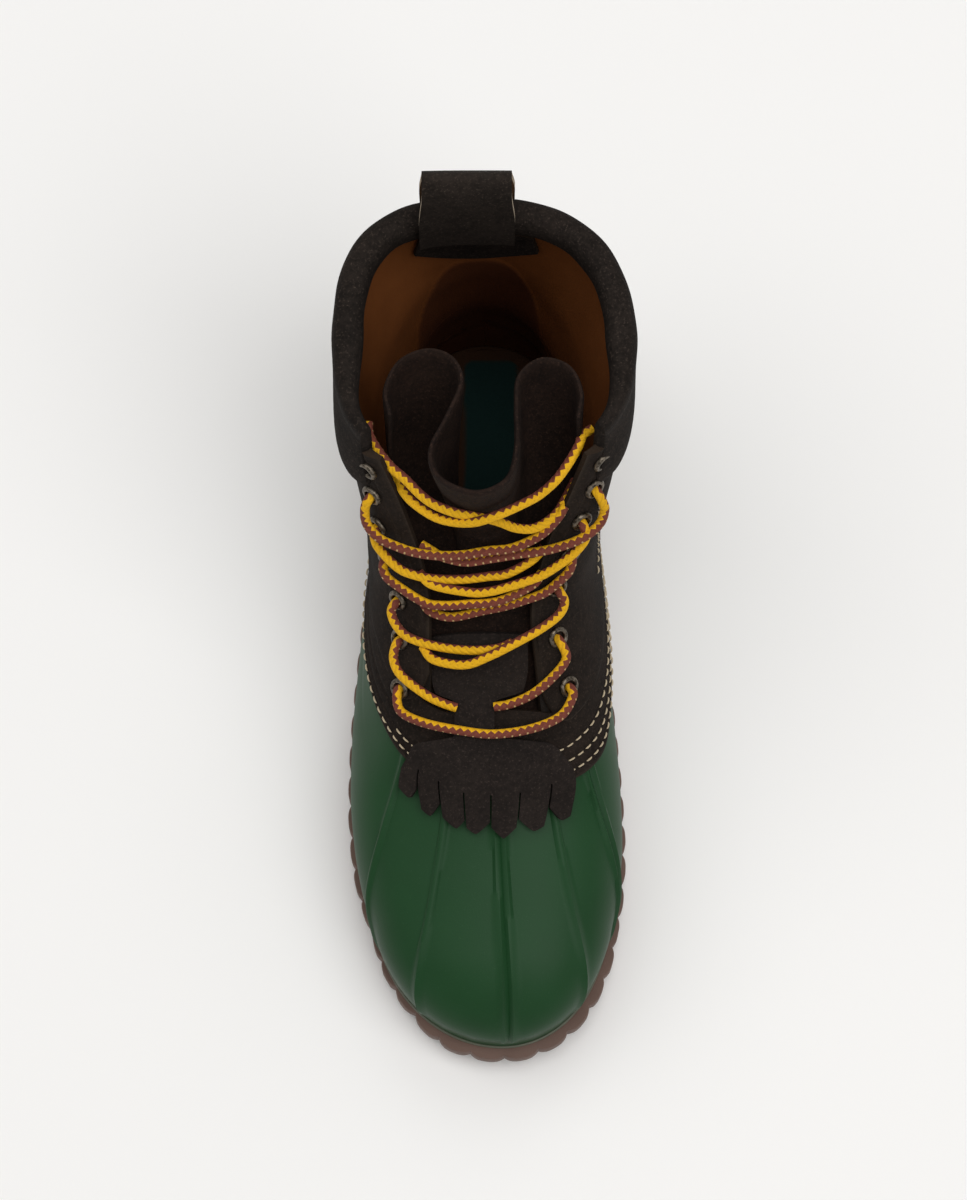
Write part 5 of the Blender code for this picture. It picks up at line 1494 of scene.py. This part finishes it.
def pull_loop():
    """A leather strap folded over the collar's back: dark outside, tan inside, raw edges."""
    along = np.linspace(0, 1, 150)
    across = np.linspace(-0.5, 0.5, 41)
    front = strap_face(along, across, 1)
    back = strap_face(along, across, -1)
    piece = wall("pull_strap", front, back, [STRAP_LEATHER, STRAP_INNER, CREAM_EDGE], sharp=35)
    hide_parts("pull_loop")


ANCHOR_X = (-28.0, 20.5)
ANCHOR_Z = (170.0, 145.0)


def loop_anchor():
    """The dark patch on the heel's lining that holds the loop: a sheet 1.4 mm thick.

    Its lower edge rises by 13 u^2 mm from its middle to its corners.
    """
    u = np.linspace(-1.0, 1.0, 49)[None, :]
    share = np.linspace(0.0, 1.0, 25)[:, None]
    x = (ANCHOR_X[0] + ANCHOR_X[1]) / 2 + (ANCHOR_X[1] - ANCHOR_X[0]) / 2 * u * (0.9 + 0.1 * share)
    z = ANCHOR_Z[0] + (ANCHOR_Z[1] - ANCHOR_Z[0]) * share + 13.0 * u ** 2 * share
    skin = cast(stack(x, 240.0, z), stack(0.0 * x, 1.0, 0.0 * z))
    face = offset(skin, -2.9)
    back = offset(skin, -1.5)
    piece = wall("loop_anchor", face, back, [COLLAR_LEATHER, LINING, RAW_EDGE])


# Stitches

STITCH_PITCH = 4.6
STITCH_LENGTH = 3.5
THREAD_RADIUS = 0.36
THREAD_LIFT = 0.25      # the thread's middle above the leather


def stitch_row(name, path, normal):
    """Capsules of thread along a path, one at each pitch, lying along it in the leather.

    Each is r (1 - |s|^3)^0.5 thick, for s from -1 to 1 along it, and its ends dip in.
    """
    step = np.concatenate([[0], np.cumsum(np.linalg.norm(np.diff(path, axis=0), axis=1))])
    at = np.arange(STITCH_PITCH / 2, step[-1], STITCH_PITCH)

    def read(values, where):
        return np.column_stack([np.interp(where, step, values[:, i]) for i in range(3)])

    centre = read(path, at)
    aim = read(path, at + 0.5) - read(path, at - 0.5)
    aim /= np.linalg.norm(aim, axis=1, keepdims=True)
    up = read(normal, at)
    up /= np.linalg.norm(up, axis=1, keepdims=True)
    side = np.cross(aim, up)
    s = np.linspace(-1, 1, 9)
    swell = np.sqrt(np.maximum(1 - np.abs(s) ** 3, 0.0)) * THREAD_RADIUS
    turn = np.linspace(0, 2 * np.pi, 8, endpoint=False)
    sag = (0.35 - 0.55 * np.abs(s) ** 3)
    verts = (
        (centre + up * THREAD_LIFT)[:, None, None]
        + aim[:, None, None] * (s * STITCH_LENGTH / 2)[None, :, None, None]
        + side[:, None, None] * (swell[:, None] * np.cos(turn))[None, :, :, None]
        + up[:, None, None] * (swell[:, None] * np.sin(turn) + sag[:, None])[None, :, :, None]
    )
    index = np.arange(verts[..., 0].size).reshape(verts.shape[:3])
    nxt = np.roll(index, -1, axis=2)
    faces = np.stack([index[:, :-1], nxt[:, :-1], nxt[:, 1:], index[:, 1:]], axis=-1).reshape(-1, 4)
    flat, kept = weld(verts.reshape(-1, 3), faces)
    mesh = bpy.data.meshes.new(name)
    mesh.from_pydata(place(flat).tolist(), [], kept)
    mesh.materials.append(THREAD)
    mesh.shade_smooth()
    obj = bpy.data.objects.new(name, mesh)
    bpy.context.scene.collection.objects.link(obj)
    turn_outwards(obj)
    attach(obj, "root")


ROW_STARTS = (-20.0, -3.4, 0.0)      # where on the outer side each row begins, as a ring step


def band_stitches():
    """Rows of heavy thread along the sewn band: three on the inner side, fewer on the outer.

    Where a row leaves part of the ring out, it begins after the gap.
    """
    for k, share in enumerate(BAND_SEAMS):
        grid = rows_between(SEAM_RAYS, BAND_RAYS, (share,))[0]
        path = grid[RING["step"] >= ROW_STARTS[k]]
        apart = np.linalg.norm(np.diff(path, axis=0), axis=1)
        if apart.max() > 20.0:
            path = np.roll(path, -int(np.argmax(apart)) - 1, axis=0)
        normal = skin_normal(path)
        path = path + normal * (LEATHER_WALL + GAP / 2)
        stitch_row("band_stitches_%d" % (k + 1), path, normal)


SIDE_STITCHES = (
    (199, 160), (196, 152), (193, 142), (190, 130), (189, 115), (190, 100), (187, 88), (180, 82),
)


def side_stitches():
    """One row up the inner side of the ankle, through points given by length and height."""
    route = finer(np.array(SIDE_STITCHES, float), 12, 0)
    skin = cast(stack(0.0, route[:, 0], route[:, 1]), stack(1.0, 0.0 * route[:, 0], 0.0))
    normal = skin_normal(skin)
    path = skin + normal * (LEATHER_WALL + QUARTER_STEP + GAP / 2)
    stitch_row("side_stitches", path, normal)


# The whole boot

rubber_shell()
sewn_band()
quarters()
shaft_lining()
shell_lining()
outsole()
sole_bead()
insole()
collar()
tongue()
kiltie()
eyelets()
laces()
pull_loop()
loop_anchor()
band_stitches()
side_stitches()


# Floor, light and camera

def floor():
    """A plain pale floor under the sole."""
    bpy.ops.mesh.primitive_plane_add(size=12.0, location=(0.0, 0.0, 0.0))
    plane = bpy.context.object
    plane.name = "floor"
    plane.data.materials.append(plain_floor())


LIGHT_AIM = (0.0, 0.0, 0.08)


def area_light(name, position, size, power):
    """A soft square lamp looking at the boot."""
    lamp = bpy.data.lights.new(name, "AREA")
    lamp.shape = "SQUARE"
    lamp.size = size
    lamp.energy = power
    obj = bpy.data.objects.new(name, lamp)
    obj.location = position
    way = Vector(LIGHT_AIM) - Vector(position)
    obj.rotation_euler = way.to_track_quat("-Z", "Y").to_euler()
    bpy.context.scene.collection.objects.link(obj)


def world():
    """A pale even surround."""
    scene = bpy.context.scene
    scene.world = bpy.data.worlds.new("studio")
    scene.world.use_nodes = True
    ground = scene.world.node_tree.nodes["Background"]
    ground.inputs[0].default_value = (1.0, 0.995, 0.985, 1.0)
    ground.inputs[1].default_value = 0.36
    scene.view_settings.view_transform = "Standard"


CAMERA_ELEVATION = math.radians(75.0)
CAMERA_DISTANCE = 1.300
CAMERA_TARGET = (-0.001, 0.0211, 0.070)
CAMERA_LENS = 99.45


def camera():
    """The photograph's view: from in front of the toe, high over the boot."""
    data = bpy.data.cameras.new("camera")
    data.sensor_fit = "VERTICAL"
    data.sensor_height = 36.0
    data.lens = CAMERA_LENS
    obj = bpy.data.objects.new("camera", data)
    look = Vector((0.0, math.cos(CAMERA_ELEVATION), -math.sin(CAMERA_ELEVATION)))
    obj.location = Vector(CAMERA_TARGET) - look * CAMERA_DISTANCE
    obj.rotation_euler = look.to_track_quat("-Z", "Y").to_euler()
    bpy.context.scene.collection.objects.link(obj)
    bpy.context.scene.camera = obj


floor()
world()
area_light("key", (0.9, -0.6, 2.0), 1.5, 17.0)
area_light("top", (0.05, 0.05, 2.3), 0.9, 9.0)
area_light("fill", (-1.2, 0.2, 1.7), 1.8, 9.0)
area_light("back", (0.2, 1.5, 1.6), 1.4, 7.0)
camera()
